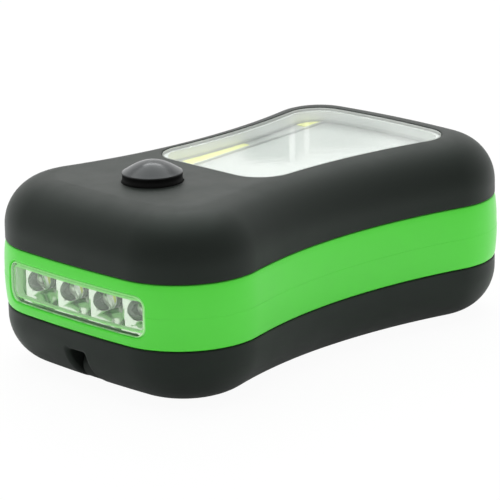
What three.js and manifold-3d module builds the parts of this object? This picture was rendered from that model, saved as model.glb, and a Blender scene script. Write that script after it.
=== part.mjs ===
// Palm-sized LED work light: a waisted, soft-edged casing of two black covers and a bright green
// middle band, with a flat strip-lit panel on top, a row of torch LEDs in the front end, a domed push
// button, three cells under a hinged door with a magnet in it, and a hook that folds into the underside.
//
// Millimetres. +X runs from the torch end (front) to the rear, +Z is up, and the origin is the middle of
// the underside.

import * as THREE from "three";
import { mergeVertices } from "three/addons/utils/BufferGeometryUtils.js";
import Module from "manifold-3d";

// Casing, all over
const caseLength = 115;
const frontWidth = 69.8;
const rearWidth = 69;
const waistWidth = 58.7;
const caseHeight = 43.6;
const frontCornerRadius = 18.6;
const rearCornerRadius = 16.8;
const frontEndRadius = 307;
const rearEndRadius = 196;
const topEdgeRadius = 11.3;
const bottomEdgeRadius = 11.5;
const wall = 2;
const bandBottom = 14;
const bandTop = 29.1;
const bandWall = 3.3;
const bandCrown = 0.5;
const bandLipHeight = 2.4;

// Gaps between pieces
const gap = 0.3;
const runningGap = 0.15;
const overrun = 5;

// Work-light panel in the top cover
const panelButtonGap = 8.85;
const panelRearSetback = 11.9;
const panelSideInset = 10.6;
const panelCornerRadius = 8;
const panelLensThickness = 2;
const panelLensRecess = 0.1;
const panelFlangeWidth = 1;
const panelFlangeThickness = 1;
const panelFlangeDrop = 0.7;
const panelSkirtWidth = 1.2;
const panelReflectorDepth = 1.3;
const panelReflectorRim = 0.4;
const panelReflectorSlope = 0.5;
const panelBoardThickness = 1.6;
const panelBoardMargin = 1.2;
const boardEarRadius = 2.8;
const boardEarSetback = 11.5;
const boardEarOffset = 2.4;
const boardBossRadius = 2.1;
const boardScrewGrip = 2.3;
const stripWidth = 5;
const stripHeight = 0.5;
const stripMargin = 1.2;
const stripEndMargin = 3;

// Push button
const buttonFromFront = 25.4;
const buttonRadius = 7.05;
const buttonSkirtHeight = 2.3;
const buttonDomeHeight = 2.8;
const buttonDomeFullness = 1.15;
const buttonFlangeWidth = 1.6;
const buttonFlangeThickness = 1.2;
const buttonStemRadius = 2.2;
const buttonStemLength = 3.2;
const buttonTravel = 1.5;

// Switch under the button
const switchWidth = 8;
const switchHeight = 8;
const plungerWidth = 3.4;
const plungerProud = 2.4;
const plungerDepth = 3.4;
const switchBoardFrontReach = 6.3;
const switchBoardRearReach = 10.7;
const switchBoardMargin = 2.9;
const switchBoardThickness = 1.5;
const boardPostRadius = 2.3;
const boardPostGap = 0.65;
const resistorRadius = 1.2;
const resistorLength = 6.4;
const resistorCapRadius = 1.45;
const resistorCapLength = 1.3;

// Torch in the front end
const torchSideMargin = 12.3;
const torchWindowHeight = 9.8;
const torchWindowRadius = 2.8;
const torchWindowRise = -0.25;
const torchLensRecess = 0.15;
const torchLensThickness = 1.6;
const torchLensSide = 1;
const torchFlangeWidth = 1.2;
const torchFlangeThickness = 1;
const torchReflectorDepth = 4.5;
const torchCupFrontRadius = 4.9;
const torchCupGap = 0.4;
const ledCount = 4;
const ledEndMargin = 5.95;
const ledRadius = 2.5;
const ledLength = 8.7;
const ledFlangeRadius = 2.85;
const ledFlangeThickness = 1;
const torchBoardStandoff = 1.17;
const torchBoardThickness = 1.6;
const torchRibThickness = 2;
const torchRibLip = 2.6;

// Cells and their bay in the bottom cover
const cellRadius = 5.25;
const cellLength = 44.5;
const cellNippleRadius = 1.9;
const cellNippleLength = 1.1;
const cellShoulder = 0.6;
const cellCount = 3;
const cellSpacing = 0.5;
const cellFloorGap = 0.55;
const bayRearSetback = 13.5;
const bayWall = 1.6;
const baySideGap = 0.3;
const bayRoofGap = 0.3;
const bayEndGap = 0.9;
const plateThickness = 0.5;
const plateHeight = 8.4;
const plateWidth = 8.6;
const plateTabWidth = 3.6;
const plateTabHeight = 2.2;
const springTurns = 3;
const springWireRadius = 0.35;
const springBigRadius = 3.4;
const springSmallRadius = 2;
const springLength = 3.6;

// Door over the cells, with the magnet
const doorThickness = 2;
const doorFrontInset = 1.5;
const doorRearInset = 1;
const doorHalfWidth = 17.6;
const doorTabWidth = 5;
const doorTabSide = 10;
const doorTabReach = 1.7;
const doorTabThickness = 1.2;
const doorTabRoot = 5.1;
const doorSlotWidth = 1;
const doorSlotLength = 8;
const doorTongueWidth = 11;
const doorGripRibs = 3;
const doorGripPitch = 2;
const doorGripDepth = 0.4;
const doorGripWidth = 0.8;
const doorGripMargin = 2;
const scoopDepth = 1.1;
const scoopLength = 3.4;
const magnetRadius = 10;
const magnetThickness = 2.4;
const magnetWall = 1.4;
const magnetFloor = 1.1;

// Hook and its channel
const hookPivotFromFront = 8;
const hookPivotHeight = 4.6;
const hookKnuckleRadius = 3.6;
const hookKnuckleWidth = 5.1;
const hookArmWidth = 4.6;
const hookArmThickness = 4.4;
const hookRecess = 0.7;
const loopPocketSetback = 2.8;
const hookLoopRadius = 7.2;
const hookTipAngle = 258;
const hookPinRadius = 1.4;
const hookPinSeat = 1;
const channelHeadGap = 0.9;
const channelHeadLength = 15;
const channelDepth = 6.2;
const channelWall = 1.6;
const loopPocketGap = 0.6;

// Case screws and their bosses
const caseScrewTorchGap = 2.6;
const caseScrewFrontInset = 10.2;
const caseScrewRearSetback = 10.2;
const caseScrewRearInset = 9.6;
const caseBossRadius = 3.6;
const caseBossTop = 12;
const counterboreDepth = 8;
const topBossRadius = 3.3;
const pilotSpare = 2;
const caseScrewHeadRadius = 2.5;
const caseScrewHeadHeight = 1.8;
const caseScrewShankRadius = 1.25;
const caseScrewShankLength = 14;
const driveSocketRadius = 1;
const driveSocketDepth = 0.9;

// Small screws for the boards
const smallScrewHeadRadius = 1.9;
const smallScrewHeadHeight = 1.2;
const smallScrewShankRadius = 0.9;
const smallScrewShankLength = 6;
const torchScrewShankLength = 4;

// Leads
const leadRadius = 0.7;

// Facets
const endSteps = 2;
const cornerSteps = 6;
const waistSteps = 4;
const outerRoundSteps = 5;
const crownSteps = 4;
const innerRoundSteps = 3;
const barCornerSteps = 3;
const largeSegments = 32;
const roundSegments = 16;
const smallSegments = 10;
const screwSegments = 8;
const leadSides = 6;
const leadSteps = 12;
const loopSteps = 12;
const ledDomeSteps = 4;
const domeShares = [0.2, 0.45, 0.7];
const springStepsPerTurn = 8;
const springSides = 5;
const mergeDistance = 1e-4;
const quarterTurn = Math.PI / 2;
const halfTurn = Math.PI;
const fullTurn = 2 * Math.PI;

const wasm = await Module();
wasm.setup();

const lamp = new THREE.Group();

// Solids and meshes

/** A closed three.js geometry as a solid that can be joined and cut. */
function solidOf(geometry) {
  const bare = geometry.index ? geometry.toNonIndexed() : geometry.clone();
  for (const name of Object.keys(bare.attributes)) {
    if (name !== "position") bare.deleteAttribute(name);
  }
  const merged = mergeVertices(bare, mergeDistance);
  return new wasm.Manifold(
    new wasm.Mesh({
      numProp: 3,
      vertProperties: merged.attributes.position.array,
      triVerts: new Uint32Array(merged.index.array),
    }),
  );
}

/** A solid as a three.js geometry. */
function geometryOf(solid) {
  const mesh = solid.getMesh();
  const geometry = new THREE.BufferGeometry();
  geometry.setAttribute("position", new THREE.BufferAttribute(mesh.vertProperties, 3));
  geometry.setIndex(new THREE.BufferAttribute(mesh.triVerts, 1));
  return geometry;
}

/** Adds a named piece to the lamp. */
function addPiece(name, shape, material) {
  const geometry = shape.isBufferGeometry ? shape : geometryOf(shape);
  const mesh = new THREE.Mesh(geometry, material);
  mesh.name = name;
  lamp.add(mesh);
  return mesh;
}

/** The pieces in a list joined into one. */
function joined(solids) {
  return solids.reduce((sum, next) => sum.add(next));
}

/** The first solid with all the others cut away. */
function cut(solid, cutters) {
  return cutters.reduce((left, next) => left.subtract(next), solid);
}

/** A block between two limits on each axis. */
function block([x0, x1], [y0, y1], [z0, z1]) {
  const geometry = new THREE.BoxGeometry(x1 - x0, y1 - y0, z1 - z0);
  geometry.translate((x0 + x1) / 2, (y0 + y1) / 2, (z0 + z1) / 2);
  return solidOf(geometry);
}

/** An upright rod, or a cone where the two radii differ. */
function post([x, y], [z0, z1], bottomRadius, topRadius = bottomRadius, segments = roundSegments) {
  const geometry = new THREE.CylinderGeometry(topRadius, bottomRadius, z1 - z0, segments);
  geometry.rotateX(quarterTurn);
  geometry.translate(x, y, (z0 + z1) / 2);
  return solidOf(geometry);
}

/** Slender upright rods of one size, one at each place. */
function posts(places, span, radius) {
  return places.map((at) => post(at, span, radius, radius, smallSegments));
}

/** A rod or cone along X, with the first radius at the lower X. */
function rodAlongX([x0, x1], [y, z], radiusAtStart, radiusAtEnd = radiusAtStart) {
  const geometry = new THREE.CylinderGeometry(radiusAtEnd, radiusAtStart, x1 - x0, roundSegments);
  geometry.rotateZ(-quarterTurn);
  geometry.translate((x0 + x1) / 2, y, z);
  return solidOf(geometry);
}

/** A rod along Y, centred on Y = 0. */
function rodAlongY([x, z], length, radius) {
  const geometry = new THREE.CylinderGeometry(radius, radius, length, roundSegments);
  geometry.translate(x, 0, z);
  return solidOf(geometry);
}

/** A solid of revolution about Z, from [radius, height] pairs that start and end on the axis. */
function turned(profile, segments = roundSegments) {
  const points = profile.map(([r, z]) => new THREE.Vector2(r, z));
  const geometry = new THREE.LatheGeometry(points, segments);
  geometry.rotateX(quarterTurn);
  return geometry;
}

/** An upright plate with the given outline. */
function plate(outline, [z0, z1]) {
  const geometry = new THREE.ExtrudeGeometry(new THREE.Shape(outline), {
    depth: z1 - z0,
    bevelEnabled: false,
  });
  geometry.translate(0, 0, z0);
  return solidOf(geometry);
}

/** A bar along X with a rounded rectangular section. */
function roundedBar([x0, x1], halfWidth, [z0, z1], radius) {
  const section = new THREE.Shape();
  const middle = (z0 + z1) / 2;
  const halfHeight = (z1 - z0) / 2;
  const corners = [
    [halfWidth, halfHeight, 0],
    [-halfWidth, halfHeight, quarterTurn],
    [-halfWidth, -halfHeight, halfTurn],
    [halfWidth, -halfHeight, halfTurn + quarterTurn],
  ];
  for (const [u, v, start] of corners) {
    const centre = [u - Math.sign(u) * radius, v - Math.sign(v) * radius];
    section.absarc(centre[0], centre[1], radius, start, start + quarterTurn, false);
  }
  const geometry = new THREE.ExtrudeGeometry(section, {
    depth: x1 - x0,
    bevelEnabled: false,
    curveSegments: barCornerSteps,
  });
  geometry.rotateX(quarterTurn);
  geometry.rotateZ(quarterTurn);
  geometry.translate(x0, 0, middle);
  return solidOf(geometry);
}

/** A closed solid through rings of points, from the lowest ring to the highest. */
function loft(rings) {
  const count = rings[0].outline.length;
  const positions = [];
  for (const { outline, z } of rings) {
    for (const p of outline) positions.push(p.x, p.y, z);
  }
  const faces = [];
  for (let level = 0; level < rings.length - 1; level++) {
    for (let i = 0; i < count; i++) {
      const a = level * count + i;
      const b = level * count + ((i + 1) % count);
      faces.push(a, b, b + count, a, b + count, a + count);
    }
  }
  const topStart = (rings.length - 1) * count;
  for (const [a, b, c] of THREE.ShapeUtils.triangulateShape(rings[0].outline, [])) {
    faces.push(a, c, b);
  }
  for (const [a, b, c] of THREE.ShapeUtils.triangulateShape(rings[rings.length - 1].outline, [])) {
    faces.push(topStart + a, topStart + b, topStart + c);
  }
  const geometry = new THREE.BufferGeometry();
  geometry.setAttribute("position", new THREE.Float32BufferAttribute(positions, 3));
  geometry.setIndex(faces);
  return solidOf(geometry);
}

// Outlines in plan

/** Points along an arc, both ends included. */
function arc([cx, cy], radius, from, to, steps) {
  return Array.from({ length: steps + 1 }, (_, i) => {
    const angle = from + ((to - from) * i) / steps;
    return new THREE.Vector2(cx + radius * Math.cos(angle), cy + radius * Math.sin(angle));
  });
}

/** Where two circles meet, on the side with the greater X. */
function meetOf([x0, y0], r0, [x1, y1], r1) {
  const span = Math.hypot(x1 - x0, y1 - y0);
  const along = (span ** 2 + r0 ** 2 - r1 ** 2) / (2 * span);
  const off = Math.sqrt(r0 ** 2 - along ** 2);
  const [ux, uy] = [(x1 - x0) / span, (y1 - y0) / span];
  const [middleX, middleY] = [x0 + ux * along, y0 + uy * along];
  const places = [-1, 1].map((side) => [middleX - side * uy * off, middleY + side * ux * off]);
  return places[0][0] > places[1][0] ? places[0] : places[1];
}

/** The angle of the line from one point to another. */
function angleTo([x0, y0], [x1, y1]) {
  return Math.atan2(y1 - y0, x1 - x0);
}

/** The angle at which an arc passes a point. A bulging arc has a negative radius, and its angles turn. */
function angleOn(centre, radius, place) {
  return radius > 0 ? angleTo(centre, place) : angleTo(place, centre);
}

/**
 * The end, corner and waist arcs of one half of the casing, as if it lay towards +X. The waist's
 * radius is negative where the waist is the widest place.
 */
function halfArcs(width, cornerRadius, endRadius) {
  const cornerY = width / 2 - cornerRadius;
  const end = [caseLength / 2 - endRadius, 0];
  const cornerX = end[0] + Math.sqrt((endRadius - cornerRadius) ** 2 - cornerY ** 2);
  const drop = waistWidth / 2 - cornerY;
  const waistRadius = (cornerX ** 2 + drop ** 2 - cornerRadius ** 2) / (width - waistWidth);
  const corner = [cornerX, cornerY];
  return { end, endRadius, corner, cornerRadius, waist: [0, waistWidth / 2 + waistRadius], waistRadius };
}

const frontArcs = halfArcs(frontWidth, frontCornerRadius, frontEndRadius);
const rearArcs = halfArcs(rearWidth, rearCornerRadius, rearEndRadius);

/** A quarter of the outline on the +Y side, from the end's middle to the waist, at an inset. */
function quarterOutline({ end, endRadius, corner, cornerRadius, waist, waistRadius }, inset) {
  const endAngle = angleTo(end, corner);
  const waistAngle = angleOn(waist, waistRadius, corner);
  const round = cornerRadius - inset;
  const cornerTurn = waistAngle + halfTurn;
  const widest = cornerTurn > quarterTurn ? quarterTurn : (endAngle + cornerTurn) / 2;
  return [
    ...arc(end, endRadius - inset, 0, endAngle, endSteps),
    ...arc(corner, round, endAngle, widest, cornerSteps).slice(1),
    ...arc(corner, round, widest, cornerTurn, 1).slice(1),
    ...arc(waist, waistRadius + inset, waistAngle, -quarterTurn, waistSteps).slice(1),
  ];
}

/** The same points on the -X side, in the opposite order. */
function turnedBack(points) {
  return points.map((p) => new THREE.Vector2(-p.x, p.y)).reverse();
}

/** A half outline on the +Y side, closed by its mirror image. */
function mirrored(half) {
  const back = half
    .filter((p) => p.y > 0)
    .reverse()
    .map((p) => new THREE.Vector2(p.x, -p.y));
  return [...half, ...back];
}

/** The casing's waisted outline, moved inwards by an inset. */
function caseOutline(inset) {
  const rear = quarterOutline(rearArcs, inset);
  const front = turnedBack(quarterOutline(frontArcs, inset));
  return mirrored([...rear, ...front.slice(1)]);
}

const frontEnd = -caseLength / 2;
const rearEnd = caseLength / 2;
const buttonX = frontEnd + buttonFromFront;
const panelFront = buttonX + buttonRadius + panelButtonGap;
const panelRear = rearEnd - panelRearSetback;

/** The light panel's outline, moved inwards by a margin: its sides follow the casing's waist. */
function panelOutline(margin) {
  const round = panelCornerRadius - margin;
  const { end, endRadius, waist, waistRadius } = rearArcs;
  const endReach = endRadius - panelRearSetback;
  const rearWaistReach = waistRadius + panelSideInset + panelCornerRadius;
  const rearCorner = meetOf(end, endReach - panelCornerRadius, waist, rearWaistReach);
  const rearEndAngle = angleTo(end, rearCorner);
  const rearTangent = angleOn(waist, waistRadius, rearCorner);
  const rearReach = waistRadius + panelSideInset + margin;
  const front = frontArcs.waist;
  const frontX = panelFront + panelCornerRadius;
  const frontCorner = [frontX, halfWidthAt(frontX, panelSideInset + panelCornerRadius)];
  const frontTangent = angleOn(front, frontArcs.waistRadius, frontCorner);
  const frontReach = frontArcs.waistRadius + panelSideInset + margin;
  return mirrored([
    ...arc(end, endReach - margin, 0, rearEndAngle, endSteps),
    ...arc(rearCorner, round, rearEndAngle, rearTangent + halfTurn, cornerSteps).slice(1),
    ...arc(waist, rearReach, rearTangent, -quarterTurn, waistSteps).slice(1),
    ...arc(front, frontReach, -quarterTurn, frontTangent, waistSteps).slice(1),
    ...arc(frontCorner, round, frontTangent + halfTurn, halfTurn, cornerSteps).slice(1),
  ]);
}

/** The casing's soft-edged body, moved inwards by an inset all over. */
function caseBody(inset, steps) {
  const rings = [];
  const bottomRound = bottomEdgeRadius - inset;
  const topRound = topEdgeRadius - inset;
  for (let i = 0; i <= steps; i++) {
    const angle = -quarterTurn + (quarterTurn * i) / steps;
    rings.push({
      outline: caseOutline(inset + bottomRound * (1 - Math.cos(angle))),
      z: inset + bottomRound * (1 + Math.sin(angle)),
    });
  }
  for (let i = 0; i <= steps; i++) {
    const angle = (quarterTurn * i) / steps;
    rings.push({
      outline: caseOutline(inset + topRound * (1 - Math.cos(angle))),
      z: caseHeight - inset - topRound * (1 - Math.sin(angle)),
    });
  }
  return loft(rings);
}

/** The casing between the covers, whose sides bulge a little, moved inwards by an inset. */
function crownedBody(inset) {
  const rings = Array.from({ length: crownSteps + 1 }, (_, i) => {
    const share = (2 * i) / crownSteps - 1;
    return {
      outline: caseOutline(inset - bandCrown * (1 - share ** 2)),
      z: bandBottom + ((bandTop - bandBottom) * i) / crownSteps,
    };
  });
  return loft(rings);
}

/** Half the casing's width at a place along it, from the waist's arc. */
function halfWidthAt(x, inset) {
  const { waist, waistRadius } = x < 0 ? frontArcs : rearArcs;
  return waist[1] - Math.sign(waistRadius) * Math.sqrt((waistRadius + inset) ** 2 - x ** 2);
}

/** How far the casing's front end reaches from the middle, at a place across it. */
function frontReachAt(y, inset) {
  const { end, endRadius, corner, cornerRadius } = frontArcs;
  const endHalf = (endRadius - inset) * Math.sin(angleTo(end, corner));
  if (y <= endHalf) return end[0] + Math.sqrt((endRadius - inset) ** 2 - y ** 2);
  return corner[0] + Math.sqrt((cornerRadius - inset) ** 2 - (y - corner[1]) ** 2);
}

// Places worked out from the sizes above

const ceiling = caseHeight - wall;
const lensTop = caseHeight - panelLensRecess;
const lensFlangeTop = ceiling - panelFlangeDrop;
const lensFlangeBottom = lensFlangeTop - panelFlangeThickness;
const reflectorTop = lensFlangeBottom - gap;
const panelBoardTop = reflectorTop - panelReflectorDepth;
const panelBoardBottom = panelBoardTop - panelBoardThickness;
const boardScrewLength = panelBoardThickness + boardScrewGrip;
const buttonFlangeTop = ceiling - gap;
const buttonFlangeBottom = buttonFlangeTop - buttonFlangeThickness;
const stemBottom = buttonFlangeBottom - buttonStemLength;
const switchTop = stemBottom - plungerProud;
const switchBoardTop = switchTop - switchHeight;
const switchBoardBottom = switchBoardTop - switchBoardThickness;
const torchAxis = (bandBottom + bandTop) / 2 + torchWindowRise;
const torchWindowWidth = frontWidth - 2 * torchSideMargin;
const ledPitch = (torchWindowWidth - 2 * ledEndMargin) / (ledCount - 1);
const torchCupBackRadius = ledRadius + torchCupGap;
const torchFlangeFront = wall + gap;
const torchFlangeBack = torchFlangeFront + torchFlangeThickness;
const torchHalfWidth = torchWindowWidth / 2 + torchFlangeWidth;
const torchHalfHeight = torchWindowHeight / 2 + torchFlangeWidth;
const torchReflectorInset = Math.max(torchFlangeBack, bandWall);
const torchReflectorFront = -frontReachAt(torchHalfWidth, torchReflectorInset) + gap;
const torchReflectorBack = torchReflectorFront + torchReflectorDepth;
const torchBoardFront = torchReflectorBack + torchBoardStandoff;
const torchBoardBack = torchBoardFront + torchBoardThickness;
const cellPitch = 2 * cellRadius + cellSpacing;
const cellUnderside = magnetThickness + magnetFloor + cellFloorGap;
const bayHalfWidth = ((cellCount - 1) * cellPitch) / 2 + cellRadius + baySideGap;
const bayLength = cellLength + springLength + 2 * plateThickness + bayEndGap;
const bayRear = rearEnd - bayRearSetback;
const bayFront = bayRear - bayLength;
const cellAxis = cellUnderside + cellRadius;
const bayRoof = cellAxis + cellRadius + bayRoofGap;
const bayRoofTop = bayRoof + bayWall;
const doorFront = bayFront + doorFrontInset;
const doorRear = bayRear - doorRearInset;
const doorSeat = doorThickness + gap;
const magnetX = (doorFront + doorRear) / 2;
const hookX = frontEnd + hookPivotFromFront;
const channelWidth = hookKnuckleWidth + 2 * gap;
const channelHeadDepth = hookPivotHeight + hookKnuckleRadius + channelHeadGap;
const hookPinLength = channelWidth + 2 * hookPinSeat;
const loopPocketRadius = hookLoopRadius + hookArmWidth / 2 + loopPocketGap;
const loopX = bayFront - bayWall - loopPocketSetback - loopPocketRadius;
const caseScrewFront = torchBoardBack + caseScrewTorchGap + caseBossRadius;
const caseScrewPlaces = [-1, 1].flatMap((side) => [
  [caseScrewFront, side * (frontWidth / 2 - caseScrewFrontInset)],
  [rearEnd - caseScrewRearSetback, side * (rearWidth / 2 - caseScrewRearInset)],
]);
const boardPostSide = buttonRadius + buttonFlangeWidth + boardPostGap + boardPostRadius;
const switchPostPlaces = [-1, 1].map((side) => [buttonX, side * boardPostSide]);
const boardFront = buttonX - switchBoardFrontReach;
const boardRear = buttonX + switchBoardRearReach;
const boardEarPlaces = [-1, 1].flatMap((side) =>
  [panelFront + boardEarSetback, panelRear - boardEarSetback].map((x) => [
    x,
    side * halfWidthAt(x, panelSideInset - boardEarOffset),
  ]),
);
const torchScrewPlaces = [-ledPitch, ledPitch];
const ledPlaces = Array.from({ length: ledCount }, (_, i) => (i - (ledCount - 1) / 2) * ledPitch);
const cellPlaces = Array.from({ length: cellCount }, (_, i) => (i - (cellCount - 1) / 2) * cellPitch);

// Materials

/** A material of the given colour, roughness and metalness. */
function finish(color, roughness, metalness = 0, opacity = 1) {
  return new THREE.MeshStandardMaterial({
    color,
    roughness,
    metalness,
    opacity,
    transparent: opacity < 1,
  });
}

const softBlack = finish(0x35383a, 0.62);
const buttonBlack = finish(0x2c2f30, 0.42);
const limeGreen = finish(0x5fd14e, 0.3);
const clearPlastic = finish(0xf0f6f2, 0.08, 0, 0.3);
const whitePlastic = finish(0xeef1ec, 0.4);
const boardWhite = finish(0xdfe3e0, 0.5);
const phosphor = finish(0xe6ec6a, 0.6);
const brightChrome = finish(0xdfe2e4, 0.08, 1);
const steel = finish(0xb9bcbf, 0.3, 1);
const nickel = finish(0xc9cbc8, 0.22, 1);
const springSteel = finish(0xaeb2b6, 0.3, 1);
const boardGreen = finish(0x1f6a3c, 0.5);
const switchPlastic = finish(0x1b1c1e, 0.5);
const plungerPlastic = finish(0xe8e6df, 0.5);
const cellSleeve = finish(0x3a5f8f, 0.35, 0.3);
const resistorBeige = finish(0xcfb98f, 0.5);
const leadRed = finish(0xb3202a, 0.5);
const leadBlack = finish(0x1d1d1f, 0.5);

// Casing

const outerBody = caseBody(0, outerRoundSteps);
const middleBody = caseBody(wall / 2, innerRoundSteps);
const innerBody = caseBody(wall, innerRoundSteps);
const roomInside = caseBody(wall + gap, innerRoundSteps);
const everywhereX = [frontEnd - overrun, rearEnd + overrun];
const everywhereY = [-frontWidth / 2 - overrun, frontWidth / 2 + overrun];

/** The black cover over the light panel, with its openings, screw bosses and board posts. */
function makeTopCover() {
  const above = block(everywhereX, everywhereY, [bandTop, caseHeight + overrun]);
  const shell = cut(outerBody, [innerBody]).intersect(above);
  const bosses = posts(caseScrewPlaces, [caseBossTop, caseHeight], topBossRadius);
  const switchPosts = posts(switchPostPlaces, [switchBoardTop, caseHeight], boardPostRadius);
  const earBosses = posts(boardEarPlaces, [panelBoardTop, caseHeight], boardBossRadius);
  const upper = joined([...bosses, ...switchPosts, ...earBosses]).intersect(middleBody).intersect(above);
  const lower = joined(bosses).intersect(plate(caseOutline(bandWall + gap), [caseBossTop, bandTop + gap]));
  const pilotRadius = caseScrewShankRadius + gap;
  const smallPilotRadius = smallScrewShankRadius + gap;
  const pilotTop = counterboreDepth + caseScrewShankLength + pilotSpare;
  const pilots = posts(caseScrewPlaces, [caseBossTop - overrun, pilotTop], pilotRadius);
  const switchPilotSpan = [switchBoardTop - overrun, switchBoardTop + smallScrewShankLength];
  const switchPilots = posts(switchPostPlaces, switchPilotSpan, smallPilotRadius);
  const earPilotTop = panelBoardBottom + boardScrewLength + gap;
  const earPilots = posts(boardEarPlaces, [panelBoardTop - overrun, earPilotTop], smallPilotRadius);
  return cut(joined([shell, upper, lower]), [
    plate(panelOutline(0), [ceiling - overrun, caseHeight + overrun]),
    post([buttonX, 0], [ceiling - overrun, caseHeight + overrun], buttonRadius + gap),
    ...pilots,
    ...switchPilots,
    ...earPilots,
  ]);
}

/** The green middle band, with its lips, the torch window and the ribs that hold the torch. */
function makeBand() {
  const [z0, z1] = [bandBottom, bandTop];
  const ring = cut(crownedBody(0), [plate(caseOutline(bandWall), [z0 - overrun, z1 + overrun])]);
  const lipSpan = [z0 - bandLipHeight, z1 + bandLipHeight];
  const lip = cut(plate(caseOutline(wall + gap), lipSpan).intersect(roomInside), [
    plate(caseOutline(bandWall), [lipSpan[0] - overrun, lipSpan[1] + overrun]),
  ]);
  const notchRadius = Math.max(caseBossRadius, topBossRadius) + gap;
  const bossNotches = caseScrewPlaces.map((at) => post(at, [z0 - overrun, z1 + overrun], notchRadius));
  const ribSpan = [torchAxis - torchHalfHeight, torchAxis + torchHalfHeight];
  const ribInner = torchHalfWidth + gap;
  const ribOuter = ribInner + torchRibThickness;
  const lipFront = torchBoardBack + gap;
  const ribs = [-1, 1].flatMap((side) => {
    const cheek = [side * ribInner, side * ribOuter].sort((a, b) => a - b);
    const stop = [side * (ribInner - torchRibLip), side * ribOuter].sort((a, b) => a - b);
    return [
      block([frontEnd + bandWall / 2, lipFront + torchRibThickness], cheek, ribSpan),
      block([lipFront, lipFront + torchRibThickness], stop, ribSpan),
    ];
  });
  const windowSpan = [torchAxis - torchWindowHeight / 2, torchAxis + torchWindowHeight / 2];
  const windowDepth = [frontEnd - overrun, frontEnd + bandWall + overrun];
  const window = roundedBar(windowDepth, torchWindowWidth / 2, windowSpan, torchWindowRadius);
  const ribbed = joined(ribs).intersect(plate(caseOutline(bandWall / 2), [z0, z1]));
  const rebateBody = plate(caseOutline(wall), lipSpan);
  const rebateMargin = torchFlangeWidth + gap;
  const rebate = frontSlice(rebateBody, bandWall + overrun, rebateMargin, torchWindowRadius);
  const hookClearance = hookHollow(channelWall + gap, 0);
  return cut(joined([ring, lip, ribbed]), [window, rebate, hookClearance, ...bossNotches]);
}

/** The hook's hollow in the underside, grown by a margin: channel, deeper head and round pocket. */
function hookHollow(margin, floor) {
  const halfWidth = channelWidth / 2 + margin;
  const width = [-halfWidth, halfWidth];
  const headRear = frontEnd + channelHeadLength + margin;
  const depth = [floor, channelDepth + margin];
  const pocketRadius = loopPocketRadius + margin;
  return joined([
    block([frontEnd - overrun, headRear], width, [floor, channelHeadDepth + margin]),
    block([headRear - overrun, loopX], width, depth),
    post([loopX, 0], depth, pocketRadius, pocketRadius, largeSegments),
  ]);
}

/** The black cover under the lamp, with the cell bay, the hook's channel and the screw bosses. */
function makeBottomCover() {
  const below = block(everywhereX, everywhereY, [-overrun, bandBottom]);
  const shell = cut(outerBody, [innerBody]).intersect(below);
  const bayOuter = bayHalfWidth + bayWall;
  const bayBlock = block([bayFront - bayWall, bayRear + bayWall], [-bayOuter, bayOuter], [0, bayRoofTop]);
  const bosses = posts(caseScrewPlaces, [0, caseBossTop], caseBossRadius);
  const inside = joined([bayBlock, hookHollow(channelWall, 0), ...bosses]).intersect(middleBody);
  const counterbores = posts(caseScrewPlaces, [-overrun, counterboreDepth], caseScrewHeadRadius + gap);
  const shankHoles = posts(caseScrewPlaces, [0, caseBossTop + overrun], caseScrewShankRadius + gap);
  const doorOpening = block(
    [doorFront - gap, doorRear + gap],
    [-doorHalfWidth - gap, doorHalfWidth + gap],
    [-overrun, doorSeat],
  );
  const scoop = block(
    [doorFront - gap - scoopLength, doorFront],
    [-doorTongueWidth / 2, doorTongueWidth / 2],
    [-overrun, scoopDepth],
  );
  const tabSweep = Math.hypot(doorTabReach + gap, doorSeat + doorTabThickness) + gap;
  const tabPockets = [-1, 1].map((side) => {
    const middle = side * doorTabSide;
    const half = doorTabWidth / 2 + gap;
    const depth = [doorRear - gap, doorRear + doorTabReach + 2 * gap];
    return block(depth, [middle - half, middle + half], [doorThickness, tabSweep]);
  });
  const tabSlots = [
    [bayFront, cellPlaces[0]],
    [bayRear - plateThickness, cellPlaces[cellCount - 1]],
  ].map(([x, y]) => {
    const half = plateTabWidth / 2 + gap;
    const depth = [x - gap, x + plateThickness + gap];
    return block(depth, [y - half, y + half], [bayRoof - gap, bayRoofTop + overrun]);
  });
  return cut(shell.add(inside), [
    hookHollow(0, -overrun),
    block([bayFront, bayRear], [-bayHalfWidth, bayHalfWidth], [doorThickness, bayRoof]),
    doorOpening,
    scoop,
    rodAlongY([hookX, hookPivotHeight], hookPinLength + 2 * gap, hookPinRadius + runningGap),
    ...tabPockets,
    ...tabSlots,
    ...counterbores,
    ...shankHoles,
  ]);
}

// Work-light panel

/** Upright posts that clear the light panel's screw bosses. */
function boardBossClearances() {
  return posts(boardEarPlaces, [panelBoardTop - gap, caseHeight], boardBossRadius + gap);
}

/** The clear panel, flush in the top cover, with a flange that bears on the cover from inside. */
function makePanelLens() {
  const plug = plate(panelOutline(runningGap), [lensFlangeBottom, lensTop]);
  const flangeSpan = [lensFlangeBottom, lensFlangeTop];
  const flange = plate(panelOutline(-panelFlangeWidth), flangeSpan).intersect(roomInside);
  const skirtInside = panelOutline(runningGap + panelSkirtWidth);
  const hollow = plate(skirtInside, [lensFlangeBottom - overrun, lensTop - panelLensThickness]);
  return cut(plug.add(flange), [hollow, ...boardBossClearances()]);
}

/** The white frame round the lit strips, with sloping inner sides. */
function makePanelReflector() {
  const frame = plate(panelOutline(-panelFlangeWidth), [panelBoardTop, reflectorTop]);
  const opening = loft([
    { outline: panelOutline(panelReflectorRim + panelReflectorSlope), z: panelBoardTop - gap },
    { outline: panelOutline(panelReflectorRim + panelReflectorSlope), z: panelBoardTop },
    { outline: panelOutline(panelReflectorRim), z: reflectorTop },
    { outline: panelOutline(panelReflectorRim), z: reflectorTop + gap },
  ]);
  return cut(frame.intersect(roomInside), [opening, ...boardBossClearances()]);
}

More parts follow.
